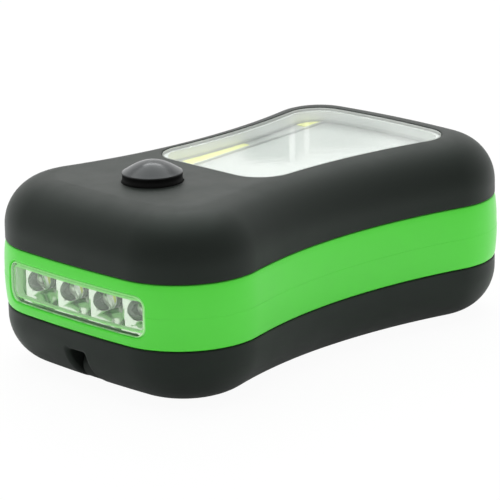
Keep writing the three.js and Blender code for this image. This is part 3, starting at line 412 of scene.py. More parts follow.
class NodeTree:
    """A node tree, with short calls to add and link its nodes."""

    def __init__(self, tree: bpy.types.NodeTree) -> None:
        """Takes a tree over as it stands."""
        self.tree = tree

    def feed(self, value: object, socket: Socket) -> None:
        """Links a value to a socket where it is a socket itself, or sets it as the socket's constant.

        Args:
            value: Output socket or constant.
            socket: Input socket that takes it.
        """
        if isinstance(value, Socket):
            self.tree.links.new(value, socket)
        else:
            socket.default_value = value

    def node(self, kind: str, links: dict[str | int, object], **settings: object) -> bpy.types.Node:
        """Adds a node.

        Args:
            kind: Node type, without the ShaderNode prefix.
            links: Input name or number to a socket or a constant.
            **settings: Node properties.

        Returns:
            The new node.
        """
        made = self.tree.nodes.new("ShaderNode" + kind)
        for key, value in settings.items():
            setattr(made, key, value)
        for key, value in links.items():
            self.feed(value, made.inputs[key])
        return made

    def sum_up(self, operation: str, *values: object, clamp: bool = False) -> Socket:
        """A sum of one to three values, such as ADD or MULTIPLY."""
        return self.node("Math", dict(enumerate(values)), operation=operation, use_clamp=clamp).outputs[0]

    def ramp(self, value: Socket, old: Pair, new: Pair = (0.0, 1.0), **settings: object) -> Socket:
        """Maps a value from one range to another, and keeps it inside.

        Args:
            value: The value.
            old: Range that it comes from.
            new: Range that it goes to.
            **settings: Node properties.

        Returns:
            The mapped value.
        """
        links = {"Value": value, "From Min": old[0], "From Max": old[1], "To Min": new[0], "To Max": new[1]}
        return self.node("MapRange", links, **settings).outputs["Result"]

    def bell(self, *offsets: object) -> Socket:
        """A flat-topped bell, exp(-(sum of the offsets' fourth powers)).

        Args:
            *offsets: Output sockets.

        Returns:
            The bell's socket.
        """
        reach = self.sum_up("POWER", offsets[0], 4.0)
        for offset in offsets[1:]:
            reach = self.sum_up("ADD", reach, self.sum_up("POWER", offset, 4.0))
        return self.sum_up("EXPONENT", self.sum_up("MULTIPLY", reach, -1.0))


class Shader(NodeTree):
    """A material's node tree, which ends in one Principled shader."""

    def __init__(self, name: str) -> None:
        """Starts an empty material.

        Args:
            name: Name of the material.
        """
        self.material = bpy.data.materials.new(name)
        self.material.use_nodes = True
        super().__init__(self.material.node_tree)
        self.tree.nodes.clear()
        self.surface = self.node("BsdfPrincipled", {})
        self.output = self.node("OutputMaterial", {"Surface": self.surface.outputs[0]})
        self.place = self.node("TexCoord", {}).outputs["Object"]

    def put(self, **values: object) -> None:
        """Feeds values to the surface's own sockets; underscores stand for spaces."""
        for key, value in values.items():
            self.feed(value, self.surface.inputs[key.replace("_", " ")])

    def noise(self, scale: float, detail: float = 3.0, place: Socket | None = None) -> Socket:
        """Noise between about 0 and 1 on the piece's own coordinates, scale in blobs a metre."""
        links = {"Vector": place or self.place, "Scale": scale, "Detail": detail}
        return self.node("TexNoise", links).outputs["Fac"]

    def spread(self, value: Socket, low: float, high: float) -> Socket:
        """Maps a value from the middle of a noise's range to low and high."""
        return self.ramp(value, NOISE_RANGE, (low, high))

    def blend(self, share: Socket, first: object, second: object) -> Socket:
        """Mixes two colours by a share."""
        links = {0: share, MIX_FIRST: first, MIX_SECOND: second}
        return self.node("Mix", links, data_type="RGBA").outputs[MIX_RESULT]

    def bump(self, height: Socket, depth: float) -> None:
        """Adds relief of the given depth in metres."""
        self.put(Normal=self.node("Bump", {"Height": height, "Distance": depth}).outputs["Normal"])


def shade(colour: Colour, share: float = 1.0) -> tuple[float, float, float, float]:
    """A colour multiplied by a share, with full alpha."""
    return (*(channel * share for channel in colour), 1.0)


@dataclass(frozen=True)
class MouldedPlastic:
    """Moulded plastic or rubber: a grained skin whose colour and gloss drift a little."""

    name: str
    colour: Colour
    roughness: float
    gloss_drift: float = 0.04
    colour_drift: float = 0.06
    grain: float = 3500.0
    grain_depth: float = 4e-6
    specular: float = 0.5
    sheen: float = 0.0
    mirror_tint: Colour = (1.0, 1.0, 1.0)
    patch_scale: float = 130.0
    index: float = 1.5

    def material(self) -> Material:
        """Makes the material.

        Returns:
            The material.
        """
        made = Shader(self.name)
        drift = made.noise(self.patch_scale, 4.0)
        dark, light = shade(self.colour, 1 - self.colour_drift), shade(self.colour, 1 + self.colour_drift)
        tint = shade(self.mirror_tint)
        made.put(
            Base_Color=made.blend(made.spread(drift, 0.0, 1.0), dark, light),
            Roughness=made.spread(
                drift, self.roughness - self.gloss_drift, self.roughness + self.gloss_drift
            ),
            Specular_IOR_Level=self.specular, IOR=self.index, Specular_Tint=tint,
            Sheen_Weight=self.sheen, Sheen_Tint=tint,
        )
        made.bump(made.noise(self.grain, 2.0), self.grain_depth)
        return made.material


@dataclass(frozen=True)
class ClearPlastic:
    """Clear moulded plastic or epoxy with faint flow waves."""

    name: str
    tint: Colour
    roughness: float
    index: float
    wave: float = 300.0
    wave_depth: float = 3e-6
    wave_shade: float = 0.985
    haze: float = 1.6
    shadow: float = 0.96

    def material(self) -> Material:
        """Makes the material.

        Returns:
            The material.
        """
        made = Shader(self.name)
        waves = made.noise(self.wave, 2.0)
        made.put(
            Base_Color=made.blend(
                made.spread(waves, 0.0, 1.0), shade(self.tint, self.wave_shade), shade(self.tint)
            ),
            Roughness=made.spread(waves, self.roughness, self.roughness * self.haze),
            Transmission_Weight=1.0, IOR=self.index,
        )
        made.bump(waves, self.wave_depth)
        self.let_lamps_through(made)
        return made.material

    def let_lamps_through(self, made: Shader) -> None:
        """Mixes in a transparent shader for shadow rays, so that what lies behind the plastic is lit.

        Args:
            made: The material's shader.
        """
        path = made.node("LightPath", {}).outputs["Is Shadow Ray"]
        open_side = made.node("BsdfTransparent", {"Color": shade(self.tint, self.shadow)}).outputs[0]
        mixed = made.node("MixShader", {0: path, 1: made.surface.outputs[0], 2: open_side})
        made.feed(mixed.outputs[0], made.output.inputs["Surface"])


@dataclass(frozen=True)
class Metal:
    """Metal or metallised plastic: fine streaks along an axis, or an even bright skin."""

    name: str
    colour: Colour
    roughness: float
    streak: Point = (1.0, 1.0, 1.0)
    scale: float = 900.0
    depth: float = 2e-6
    tarnish: float = 0.08
    gloss_drift: float = 0.3
    cloud_scale: float = 160.0

    def material(self) -> Material:
        """Makes the material.

        Returns:
            The material.
        """
        made = Shader(self.name)
        stretched = made.node("Mapping", {"Vector": made.place, "Scale": self.streak}).outputs[0]
        streaks = made.noise(self.scale, 3.0, stretched)
        cloud = made.spread(made.noise(self.cloud_scale), 0.0, 1.0)
        made.put(
            Base_Color=made.blend(cloud, shade(self.colour, 1 - self.tarnish), shade(self.colour)),
            Roughness=made.spread(
                streaks, self.roughness * (1 - self.gloss_drift), self.roughness * (1 + self.gloss_drift)
            ),
            Metallic=1.0,
        )
        made.bump(streaks, self.depth)
        return made.material


@dataclass(frozen=True)
class Speckled:
    """Phosphor, solder mask or lacquer: a ground colour with specks of another, and an optional painted glow.
    """

    name: str
    colour: Colour
    speck: Colour
    roughness: float
    # Painted glow: how strongly the surface's own colour is emitted, though it is no lamp.
    glow: float = 0.0
    scale: float = 2500.0
    depth: float = 4e-6
    speck_range: Pair = (0.1, 0.7)
    gloss_drift: float = 0.05
    gloss_scale: float = 400.0

    def material(self) -> Material:
        """Makes the material.

        Returns:
            The material.
        """
        made = Shader(self.name)
        grains = made.node("TexVoronoi", {"Vector": made.place, "Scale": self.scale}).outputs["Distance"]
        share = made.ramp(grains, self.speck_range)
        colour = made.blend(share, shade(self.speck), shade(self.colour))
        gloss = made.noise(self.gloss_scale)
        low, high = self.roughness - self.gloss_drift, self.roughness + self.gloss_drift
        made.put(Base_Color=colour, Roughness=made.spread(gloss, low, high))
        # Painted glow: the speckled colour is also emitted, which lightens the surface as if more light fell
        # on it.
        if self.glow:
            made.put(Emission_Color=colour, Emission_Strength=self.glow)
        made.bump(grains, self.depth)
        return made.material


@dataclass(frozen=True)
class RingedSleeve:
    """A cell's sleeve along X: a plain main colour with a second colour near its positive end."""

    name: str
    edge_x: float
    turned: bool
    main: Colour = (0.02, 0.10, 0.30)
    end: Colour = (0.55, 0.55, 0.53)
    metallic: float = 0.4
    roughness: Pair = (0.24, 0.34)
    worn_most: float = 0.25
    worn_shade: float = 0.6
    wear_scale: float = 500.0
    gloss_scale: float = 900.0
    wrinkle_scale: float = 1200.0
    wrinkle_depth: float = 3e-6

    def material(self) -> Material:
        """Makes the material.

        Returns:
            The material.
        """
        made = Shader(self.name)
        x = made.node("SeparateXYZ", {"Vector": made.place}).outputs["X"]
        share = made.sum_up("LESS_THAN" if self.turned else "GREATER_THAN", x, self.edge_x)
        ground = made.blend(share, shade(self.main), shade(self.end))
        worn = made.spread(made.noise(self.wear_scale), 0.0, self.worn_most)
        made.put(
            Base_Color=made.blend(worn, ground, shade(self.main, self.worn_shade)), Metallic=self.metallic,
            Roughness=made.spread(made.noise(self.gloss_scale), *self.roughness),
        )
        made.bump(made.noise(self.wrinkle_scale), self.wrinkle_depth)
        return made.material


class Finishes:
    """Every material of the object, made once and named by its finish."""

    soft_black = MouldedPlastic(
        "soft_black", (0.0094, 0.0116, 0.0098), 0.50, grain=5200.0, grain_depth=7e-6,
        colour_drift=0.05, specular=0.25, sheen=0.04, mirror_tint=(0.84, 1.0, 0.90),
    )
    green = MouldedPlastic(
        "lime_green", (0.094, 0.78, 0.050), 0.34, gloss_drift=0.015, colour_drift=0.01,
        grain=3000.0, grain_depth=1e-6, specular=0.4,
    )
    rubber = MouldedPlastic(
        "button_rubber", (0.003, 0.0037, 0.004), 0.23, grain=6000.0, grain_depth=2e-6, specular=0.42,
        sheen=0.27, mirror_tint=(0.93, 0.99, 1.0),
    )
    rubber_skirt = MouldedPlastic(
        "button_skirt", (0.004, 0.0042, 0.004), 0.45, grain=6000.0, grain_depth=2e-6, specular=0.18,
    )
    white_frame = MouldedPlastic("white_frame", (0.62, 0.67, 0.64), 0.32, colour_drift=0.012, grain=2600.0)
    switch_black = MouldedPlastic("switch_black", (0.012, 0.012, 0.014), 0.45)
    plunger_white = MouldedPlastic("plunger_white", (0.78, 0.77, 0.72), 0.42, colour_drift=0.02)
    lead_red = MouldedPlastic("lead_red", (0.45, 0.012, 0.016), 0.45)
    lead_black = MouldedPlastic("lead_black", (0.012, 0.012, 0.013), 0.45)
    clear = ClearPlastic("clear_lens", (0.97, 0.99, 0.975), 0.012, 1.49)
    torch_clear = ClearPlastic("clear_torch_lens", (0.92, 0.995, 0.91), 0.012, 1.49)
    # Frosted sides of the torch window: a pale green wall with a painted glow, which stands in for light
    # coming in through the lens.
    torch_side_painted_glow = Speckled("lens_side_green_painted_glow", (0.50, 0.92, 0.42), (0.46, 0.88, 0.38), 0.4, glow=0.16)
    led_silver = Metal("led_silver", (0.92, 0.92, 0.90), 0.34)
    # Flat back of each LED: a pale base with a painted glow, which lightens a disc that light inside the
    # clear body hardly reaches.
    led_base_painted_glow = Speckled("led_base_painted_glow", (0.62, 0.68, 0.60), (0.54, 0.60, 0.52), 0.5, glow=0.25)
    epoxy = ClearPlastic("led_clear", (0.96, 0.97, 0.965), 0.008, 1.52, wave=800.0)
    chrome = Metal("bright_chrome", (0.94, 0.96, 0.92), 0.14, scale=250.0, depth=6e-6)
    steel = Metal("screw_steel", (0.52, 0.52, 0.53), 0.30, (1.0, 1.0, 6.0))
    nickel = Metal("contact_nickel", (0.62, 0.61, 0.57), 0.22, (1.0, 8.0, 1.0))
    magnet = Metal("magnet_nickel", (0.60, 0.60, 0.58), 0.16, (9.0, 1.0, 1.0))
    spring = Metal("spring_steel", (0.50, 0.51, 0.53), 0.24)
    panel_side = Speckled("lens_side_white", (0.60, 0.65, 0.60), (0.57, 0.62, 0.57), 0.4)
    board_white = Speckled("board_white", (0.455, 0.487, 0.468), (0.427, 0.458, 0.44), 0.38)
    board_green = Speckled("board_green", (0.012, 0.15, 0.045), (0.02, 0.20, 0.06), 0.35)
    # Yellow phosphor of the unlit LEDs, with a painted glow that makes it brighter than the light on it.
    phosphor = Speckled("phosphor", (0.82, 0.87, 0.16), (0.90, 0.92, 0.36), 0.45, glow=0.15)
    resistor = Speckled("resistor_beige", (0.60, 0.47, 0.28), (0.45, 0.30, 0.14), 0.4)

    def __init__(self) -> None:
        """Puts the material of each finish in the finish's place."""
        for name, finish in vars(type(self)).items():
            if hasattr(finish, "material"):
                setattr(self, name, finish.material())


def wear(piece: Object, material: Material, body: str, slot: str, *nodes: str) -> Object:
    """Finishes a piece, lets it ride on its body and hides the CAD nodes that it replaces.

    Args:
        piece: The piece.
        material: Its material.
        body: CAD body that it moves with.
        slot: Not used.
        *nodes: CAD nodes that it replaces.

    Returns:
        The same piece.
    """
    piece.data.materials.clear()
    piece.data.materials.append(material)
    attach(piece, body)
    if nodes:
        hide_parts(*nodes)
    log.info("made %s, %d faces", piece.name, len(piece.data.polygons))
    return piece


def of_faces(piece: Object, what: OfFace) -> Array:
    """The middle or the normal of each of a piece's faces.

    Args:
        piece: The piece.
        what: Which of the two.

    Returns:
        One row a face.
    """
    values = np.empty(len(piece.data.polygons) * 3)
    piece.data.polygons.foreach_get(what.value, values)
    return values.reshape(-1, 3)


def wear_on_faces(piece: Object, material: Material, chosen: Array) -> None:
    """Gives the chosen faces of a finished piece a second finish."""
    piece.data.materials.append(material)
    piece.data.polygons.foreach_set("material_index", chosen.astype(np.int32))


def dress_node(node: str, material: Material) -> None:
    """Gives a CAD node that stays its material.

    Args:
        node: Name of the node.
        material: Its material.
    """
    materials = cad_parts[node].data.materials
    materials.clear()
    materials.append(material)
    log.info("dressed %s", node)


# Casing


@dataclass(frozen=True)
class HalfOutline:
    """Arcs of one half of the casing's outline, as if it lay towards +X."""

    end_x: float
    end_radius: float
    corner: Pair
    corner_radius: float
    waist_y: float
    waist_radius: float

    @property
    def end_angle(self) -> float:
        """Angle at which the end's arc meets the corner's."""
        return math.atan2(self.corner[1], self.corner[0] - self.end_x)

    @property
    def waist_angle(self) -> float:
        """Angle at which the waist's arc meets the corner's."""
        return math.atan2(self.corner[1] - self.waist_y, self.corner[0])

    def quarter(self, inset: float) -> Array:
        """Outline from the end's middle to the waist, moved inwards: three arcs, each tangent to the next.

        Args:
            inset: How far it is moved inwards.

        Returns:
            The quarter's points.
        """
        round_corner = self.corner_radius - inset
        end = arc((self.end_x, 0), self.end_radius - inset, 0, self.end_angle, steps=14)
        corner = arc(self.corner, round_corner, self.end_angle, self.waist_angle + HALF, steps=30)
        radius = self.waist_radius + inset
        waist = arc((0, self.waist_y), radius, self.waist_angle, -QUARTER, steps=26)
        return np.concatenate([end, corner[1:], waist[1:]])


@dataclass(frozen=True)
class PanelForm:
    """Sizes and levels of the light panel."""

    front_x: float = -0.0162
    rear_x: float = 0.0456
    side_inset: float = 0.0106
    corner_radius: float = 0.008
    lens_thickness: float = 0.002
    running_gap: float = 0.00015
    skirt: float = 0.0002
    flange: float = 0.001
    flange_thickness: float = 0.001
    frame_rim: float = 0.0004
    frame_slope: float = 0.0005
    frame_upstand: float = 0.0009
    lens_edge: float = 0.00015


@dataclass(frozen=True)
class CasingForm:
    """Sizes of the casing, and the surfaces worked out from them."""

    length: float = 0.115
    front_width: float = 0.0698
    rear_width: float = 0.069
    waist_width: float = 0.0587
    height: float = 0.0436
    front_corner_radius: float = 0.0186
    rear_corner_radius: float = 0.0168
    front_end_radius: float = 0.307
    rear_end_radius: float = 0.196
    top_round: float = 0.0113
    bottom_round: float = 0.0115
    wall: float = 0.002
    face_inset: float = 0.002
    band_bottom: float = 0.014
    band_top: float = 0.0291
    band_wall: float = 0.0033
    band_crown: float = 0.0005
    lip_height: float = 0.0024
    lip_gap: float = 0.0003
    edge_round: float = 0.0004
    seam: float = 0.00008
    round_steps: int = 18

    @property
    def front_x(self) -> float:
        """Place of the front end."""
        return -self.length / 2

    def half(self, width: float, corner_radius: float, end_radius: float) -> HalfOutline:
        """Arcs of one half from its width: the corner touches the side line and both neighbours.

        Args:
            width: Greatest width of that half.
            corner_radius: Radius of its corner.
            end_radius: Radius of its end.

        Returns:
            The half's arcs.
        """
        corner_y = width / 2 - corner_radius
        end_x = self.length / 2 - end_radius
        corner_x = end_x + math.sqrt((end_radius - corner_radius) ** 2 - corner_y**2)
        drop = self.waist_width / 2 - corner_y
        waist_radius = (corner_x**2 + drop**2 - corner_radius**2) / (width - self.waist_width)
        waist_y = self.waist_width / 2 + waist_radius
        return HalfOutline(end_x, end_radius, (corner_x, corner_y), corner_radius, waist_y, waist_radius)

    @property
    def front(self) -> HalfOutline:
        """The front half's arcs."""
        return self.half(self.front_width, self.front_corner_radius, self.front_end_radius)

    @property
    def rear(self) -> HalfOutline:
        """The rear half's arcs."""
        return self.half(self.rear_width, self.rear_corner_radius, self.rear_end_radius)

    def outline(self, inset: float) -> Array:
        """The whole waisted outline, anticlockwise.

        Args:
            inset: How far it is moved inwards.

        Returns:
            The closed outline.
        """
        front = self.front.quarter(inset)[::-1] * (-1, 1)
        upper = np.concatenate([self.rear.quarter(inset), front[1:]])
        return np.concatenate([upper, upper[1:-1][::-1] * (1, -1)])

    def front_reach(self, y: Array, inset: Array | float) -> Array:
        """How far the front end reaches from the middle: its end arc, or the corner's beyond it.

        Args:
            y: Places across the front end.
            inset: How far the surface lies inside the outline, at each place.

        Returns:
            The reach at each place.
        """
        half = self.front
        y = np.abs(y)
        end = half.end_x + np.sqrt(np.maximum((half.end_radius - inset) ** 2 - y**2, 0))
        corner_y = y - half.corner[1]
        corner_radius = half.corner_radius - inset
        corner = half.corner[0] + np.sqrt(np.maximum(corner_radius**2 - corner_y**2, 0))
        return np.where(y <= (half.end_radius - inset) * math.sin(half.end_angle), end, corner)

    def half_width(self, x: Array, inset: float) -> Array:
        """Half the casing's width on the waist's arcs.

        Args:
            x: Places along the casing.
            inset: How far the surface lies inside the outline.

        Returns:
            The half width at each place.
        """
        radius = np.where(x < 0, self.front.waist_radius, self.rear.waist_radius) + inset
        middle = np.where(x < 0, self.front.waist_y, self.rear.waist_y)
        return middle - np.sqrt(radius**2 - x**2)

    def crown_inset(self, z: Array) -> Array:
        """Inset of the band's bulging side: minus the crown, times one less the squared share of the way
        from the band's middle to its edge.

        Args:
            z: Heights.

        Returns:
            The inset at each height.
        """
        middle = (self.band_bottom + self.band_top) / 2
        share = np.clip((z - middle) / ((self.band_top - self.band_bottom) / 2), -1, 1)
        return -self.band_crown * (1 - share**2)

    def bottom_inset(self, z: Array, depth: float) -> Array:
        """Inset of the lower round, which is a quarter circle.

        Args:
            z: Heights.
            depth: How far the surface lies inside the round.

        Returns:
            The inset at each height.
        """
        radius = self.bottom_round - depth
        rise = np.clip((self.bottom_round - z) / radius, 0, 1)
        return depth + radius * (1 - np.sqrt(1 - rise**2))

    def round_profile(self, depth: float, top: bool) -> Array:
        """Inset and height of a cover's quarter round, from the upright side to the level face.

        Args:
            depth: How far the surface lies inside the skin.
            top: Whether it is the upper cover's.

        Returns:
            One row a point.
        """
        radius = self.top_round if top else self.bottom_round
        turn = np.linspace(0, QUARTER, self.round_steps + 1)
        inset = depth + (radius - depth) * (1 - np.cos(turn))
        rise = (radius - depth) * np.sin(turn)
        return np.column_stack([inset, self.height - radius + rise if top else radius - rise])

    def half_shell(self, name: str, seam_z: float, top: bool) -> Object:
        """A cover as one closed shell: outer round, rounded seam edge and inner round.

        Args:
            name: Name of the piece.
            seam_z: Height at which the cover meets the band.
            top: Whether it is the upper cover.

        Returns:
            The new object.
        """
        away = 1 if top else -1
        outer, inner = self.round_profile(0.0, top), self.round_profile(self.wall, top)[::-1]
        seam = seam_z + away * self.seam
        edge = rolled_edge(self.edge_round, steps=4) * (1, away) + (0, seam)
        face = (self.face_inset, 0.0)
        profile = [inner[:1] + face, inner, [(self.wall, seam)], edge, outer, outer[-1:] + face]
        return from_rings(name, stacked(self.outline, np.concatenate(profile)))

    def panel_outline(self, margin: float, panel: PanelForm) -> Array:
        """The light panel's outline: waisted sides, a curved rear, a straight front and round corners.

        Args:
            margin: How far it is moved inwards.
            panel: Sizes of the panel.

        Returns:
            The closed outline.
        """
        front, rear = self.front, self.rear
        round_corner = panel.corner_radius - margin
        reach = rear.end_radius - (self.length / 2 - panel.rear_x)
        rear_side, front_side = (half.waist_radius + panel.side_inset for half in (rear, front))
        beside = rear_side + panel.corner_radius
        corner = circles_meet((rear.end_x, 0), reach - panel.corner_radius, (0, rear.waist_y), beside)
        end_angle = math.atan2(corner[1], corner[0] - rear.end_x)
        side_angle = math.atan2(corner[1] - rear.waist_y, corner[0])
        front_x = panel.front_x + panel.corner_radius
        drop = math.sqrt((front_side + panel.corner_radius) ** 2 - front_x**2)
        front_corner = (front_x, front.waist_y - drop)
        front_angle = math.atan2(front_corner[1] - front.waist_y, front_corner[0])
        upper = np.concatenate([
            arc((rear.end_x, 0), reach - margin, 0, end_angle, steps=12),
            arc(corner, round_corner, end_angle, side_angle + HALF, steps=16)[1:],
            arc((0, rear.waist_y), rear_side + margin, side_angle, -QUARTER, steps=16)[1:],
            arc((0, front.waist_y), front_side + margin, -QUARTER, front_angle, steps=8)[1:],
            arc(front_corner, round_corner, front_angle + HALF, HALF, steps=16)[1:],
        ])
        return np.concatenate([upper, upper[1:][::-1] * (1, -1)])


@dataclass(frozen=True)
class TorchForm:
    """Sizes of the torch window and its lens."""

    half_width: float = 0.0226
    half_height: float = 0.0049
    corner_radius: float = 0.0028
    axis_z: float = 0.0213
    recess: float = 0.00015
    thickness: float = 0.0016
    side: float = 0.001
    flange: float = 0.0012
    flange_front: float = 0.0023
    flange_back: float = 0.0033
    running_gap: float = 0.00015
    edge: float = 0.00035
    frame_round: float = 0.0005


@dataclass(frozen=True)
class HookForm:
    """Sizes of the folding hook and of its channel."""

    pivot_x: float = -0.0495
    pivot_z: float = 0.0046
    knuckle_radius: float = 0.0036
    knuckle_width: float = 0.0051
    arm_width: float = 0.0046
    arm_low: float = 0.0007
    arm_high: float = 0.0051
    loop_x: float = -0.0205
    loop_radius: float = 0.0072
    tip_angle: float = 258.0
    edge: float = 0.0009
    pin_radius: float = 0.0014
    pin_length: float = 0.0077
    pin_gap: float = 0.00015
    channel_half: float = 0.00285
    head_depth: float = 0.0091
    head_rear: float = -0.0425
    depth: float = 0.0062
    wall: float = 0.0016
    pocket_radius: float = 0.0101
    lip: float = 0.0012
    notch_corner: float = 0.0008


@dataclass(frozen=True)
class BayForm:
    """Sizes of the cell bay and of the door over it."""

    front: float = -0.006
    rear: float = 0.044
    half_width: float = 0.01655
    wall: float = 0.0016
    roof: float = 0.01485
    roof_top: float = 0.01645
    gap: float = 0.0003
    door_front: float = -0.0045
    door_rear: float = 0.043
    door_half: float = 0.0176
    door_thickness: float = 0.002
    tab_side: float = 0.010
    tab_half: float = 0.0025
    tab_reach: float = 0.0017
    tab_sweep: float = 0.0044
    scoop_length: float = 0.0034
    scoop_depth: float = 0.0011
    tongue_half: float = 0.0055


@dataclass
class Casing:
    """The two black covers and the green band between them."""

    finishes: Finishes
    form: CasingForm
    panel: PanelForm
    torch: TorchForm
    hook: HookForm
    bay: BayForm
    button_hole: float = 0.00708
    button_edge: float = 0.00012
    opening_round: float = 0.00035
    screw_head: float = 0.0028
    screw_hole: float = 0.00155
    boss_radius: float = 0.0036
    boss_top: float = 0.012
    counterbore: float = 0.008
    band_edge: float = 0.0005
    mould_step: float = 0.00005
    mould_fade: float = 0.004
    side_steps: int = 28

    @property
    def screw_places(self) -> list[Pair]:
        """Middle of each case screw, from the frame."""
        return [tuple(middle_of(f"case_screw_{i}")[:2]) for i in ONE_TO_FOUR]

    def through_top(self, radius: float, steps: int) -> list[Pair]:
        """Margins and heights of an opening in the top whose edge rolls into the level face.

        Args:
            radius: Radius of the edge.
            steps: Steps round it.

        Returns:
            Pairs from below the wall to above the face.
        """
        top = self.form.height
        edge = [(margin, top - depth) for margin, depth in rolled_edge(radius, steps)[::-1]]
        return [(0.0, top - self.form.wall - OVERRUN), *edge, (radius, top + OVERRUN)]

    def top_cover(self) -> Object:
        """The upper cover with its openings for the light panel and the button.

        Returns:
            The new object.
        """
        shell = self.form.half_shell("top_cover_shell", self.form.band_top, True)
        edge = [(-margin, z) for margin, z in self.through_top(self.opening_round, steps=6)]
        panel_hole = stacked(lambda margin: self.form.panel_outline(margin, self.panel), edge)
        through = self.through_top(self.button_edge, steps=4)
        hole = [(self.button_hole + margin, z) for margin, z in through]
        profile = [(0, hole[0][1]), *hole, (0, hole[-1][1])]
        button = (middle_of("push_button")[0], 0, 0)
        button_cutter = revolved("button_cutter", profile, button, Axis.Z, segments=96)
        return smooth(combine(shell, [from_rings("panel_cutter", panel_hole), button_cutter]))

    def band_side(self) -> Array:
        """Inset and height of the band's bulging side. Above the mould line, halfway up, the side stands
        back by a small step that runs out upwards.

        Returns:
            One row a point.
        """
        form = self.form
        middle = (form.band_bottom + form.band_top) / 2
        low, high = form.band_bottom + self.band_edge, form.band_top - self.band_edge
        z = np.linspace(low, high, self.side_steps + 1)[1:-1]
        back = self.mould_step * np.clip(1 - (z - middle) / self.mould_fade, 0, 1) * (z > middle)
        side = np.column_stack([form.crown_inset(z) + back, z])
        at = np.searchsorted(z, middle)
        half = self.mould_step / 2
        line = np.array([(0.0, -half), (self.mould_step, half)]) + (-form.band_crown, middle)
        return np.concatenate([side[:at], line, side[at + 1 :]])

    def band(self) -> Object:
        """The green band: bulging side, rounded edges, lips inside the covers and the torch window.

        Returns:
            The new object.
        """
        form = self.form
        low, high, rise = form.band_bottom, form.band_top, form.lip_height
        lower_edge = rolled_edge(self.band_edge, steps=4) + (0, low)
        upper_edge = lower_edge[::-1] * (1, -1) + (0, low + high)
        lip = form.wall + form.lip_gap
        inner = np.array([
            (lip, high), (lip, high + rise), (form.band_wall, high + rise),
            (form.band_wall, low - rise), (lip, low - rise), (lip, low),
        ])
        profile = np.concatenate([lower_edge, self.band_side(), upper_edge, inner])
        ring = from_rings("middle_band_ring", stacked(form.outline, profile), closed=True)
        return smooth(combine(ring, [self.window_cutter(), self.rebate_cutter()]), angle=30)

    def window_ring(self, margin: float, depth: float, crown: float = 1.0) -> Array:
        """One ring of the torch window on the band's front.

        Args:
            margin: How far the window is grown.
            depth: How far the ring lies behind the band's surface.
            crown: Share of the band's bulge that the ring follows.

        Returns:
            The ring's points.
        """
        t = self.torch
        flat = rounded_rectangle(t.half_width + margin, t.half_height + margin, t.corner_radius + margin)
        inset = self.form.crown_inset(t.axis_z + flat[:, 1]) * crown + depth
        return across_x(-self.form.front_reach(flat[:, 0], inset), flat, t.axis_z)

    def tool(self, name: str, rings: list[Array], behind: float, ahead: bool = True) -> Object:
        """A tool that cuts into the front end, through rings that go inwards.

        Args:
            name: Name of the tool.
            rings: The rings.
            behind: Place of its rear face.
            ahead: Whether it starts in front of the casing.

        Returns:
            The new object.
        """
        first = [across_x(self.form.front_x - OVERRUN, rings[0][:, 1:])] if ahead else []
        return from_rings(name, np.array([*first, *rings, across_x(behind, rings[-1][:, 1:])]))

    def window_cutter(self) -> Object:
        """A tool for the torch window whose edge rolls into the band's surface."""
        rings = [self.window_ring(m, d) for m, d in rolled_edge(self.torch.frame_round, steps=6)]
        return self.tool("window_cutter", rings, self.form.front_x + 2 * OVERRUN)

    def rebate_cutter(self) -> Object:
        """A tool for the rebate behind the window, in which the lens's flange sits."""
        ring = self.window_ring(self.torch.flange + self.form.lip_gap, self.form.wall, 0.0)
        return self.tool("rebate_cutter", [ring], self.form.front_x + 2 * OVERRUN, False)

    def notch_cutter(self) -> Object:
        """A tool for the notch in the front end, whose edge rolls into the lower round.

        Returns:
            The new object.
        """
        hook, form = self.hook, self.form
        rings = []
        for margin, depth in rolled_edge(hook.lip, steps=8):
            middle = (hook.head_depth + margin - OVERRUN) / 2
            half_height = hook.head_depth + margin - middle
            corner = hook.notch_corner + margin / 2
            flat = rounded_rectangle(hook.channel_half + margin, half_height, corner)
            inset = form.bottom_inset(middle + flat[:, 1], depth)
            rings.append(across_x(-form.front_reach(flat[:, 0], inset), flat, middle))
        return self.tool("notch_cutter", rings, hook.head_rear)

    def along_hook(self, name: str, front: float, rear: float, low: float, top: float, wall: float) -> Object:
        """A block along the hook's channel.

        Args:
            name: Name of the block.
            front: Its front end.
            rear: Its rear end.
            low: Its lower face.
            top: Height of the room that it is for.
            wall: Wall round that room, or nothing for the room itself.

        Returns:
            The new object.
        """
        half = self.hook.channel_half + wall
        return box_solid(name, (front, -half, low), (rear, half, top + wall))

    def inside_walls(self) -> Object:
        """The bay, the channel, the pocket and the screw bosses, trimmed to lie half a wall inside the
        lower cover's skin.

        Returns:
            The walls as one object.
        """
        form, hook, bay = self.form, self.hook, self.bay
        outer, floor = bay.half_width + bay.wall, form.wall / 2
        pocket_top, pocket_radius = hook.depth + hook.wall, hook.pocket_radius + hook.wall
        walls = box_solid(
            "bay", (bay.front - bay.wall, -outer, floor), (bay.rear + bay.wall, outer, bay.roof_top)
        )
        others = [
            self.along_hook(
                "channel_walls", hook.head_rear - OVERRUN, hook.loop_x, floor, hook.depth, hook.wall
            ),
            self.along_hook(
                "head_walls", form.front_x, hook.head_rear + hook.wall, floor, hook.head_depth, hook.wall
            ),
            rod("pocket_wall", (hook.loop_x, 0, floor), pocket_top - floor, pocket_radius),
        ]
        height = self.boss_top - floor
        others += [rod("boss", (x, y, floor), height, self.boss_radius) for x, y in self.screw_places]
        combine(walls, others, Combining.JOIN)
        skin = [(floor, self.boss_top + form.wall), *form.round_profile(floor, False)]
        return combine(walls, [from_rings("inside_form", stacked(form.outline, skin))], Combining.CROSS)

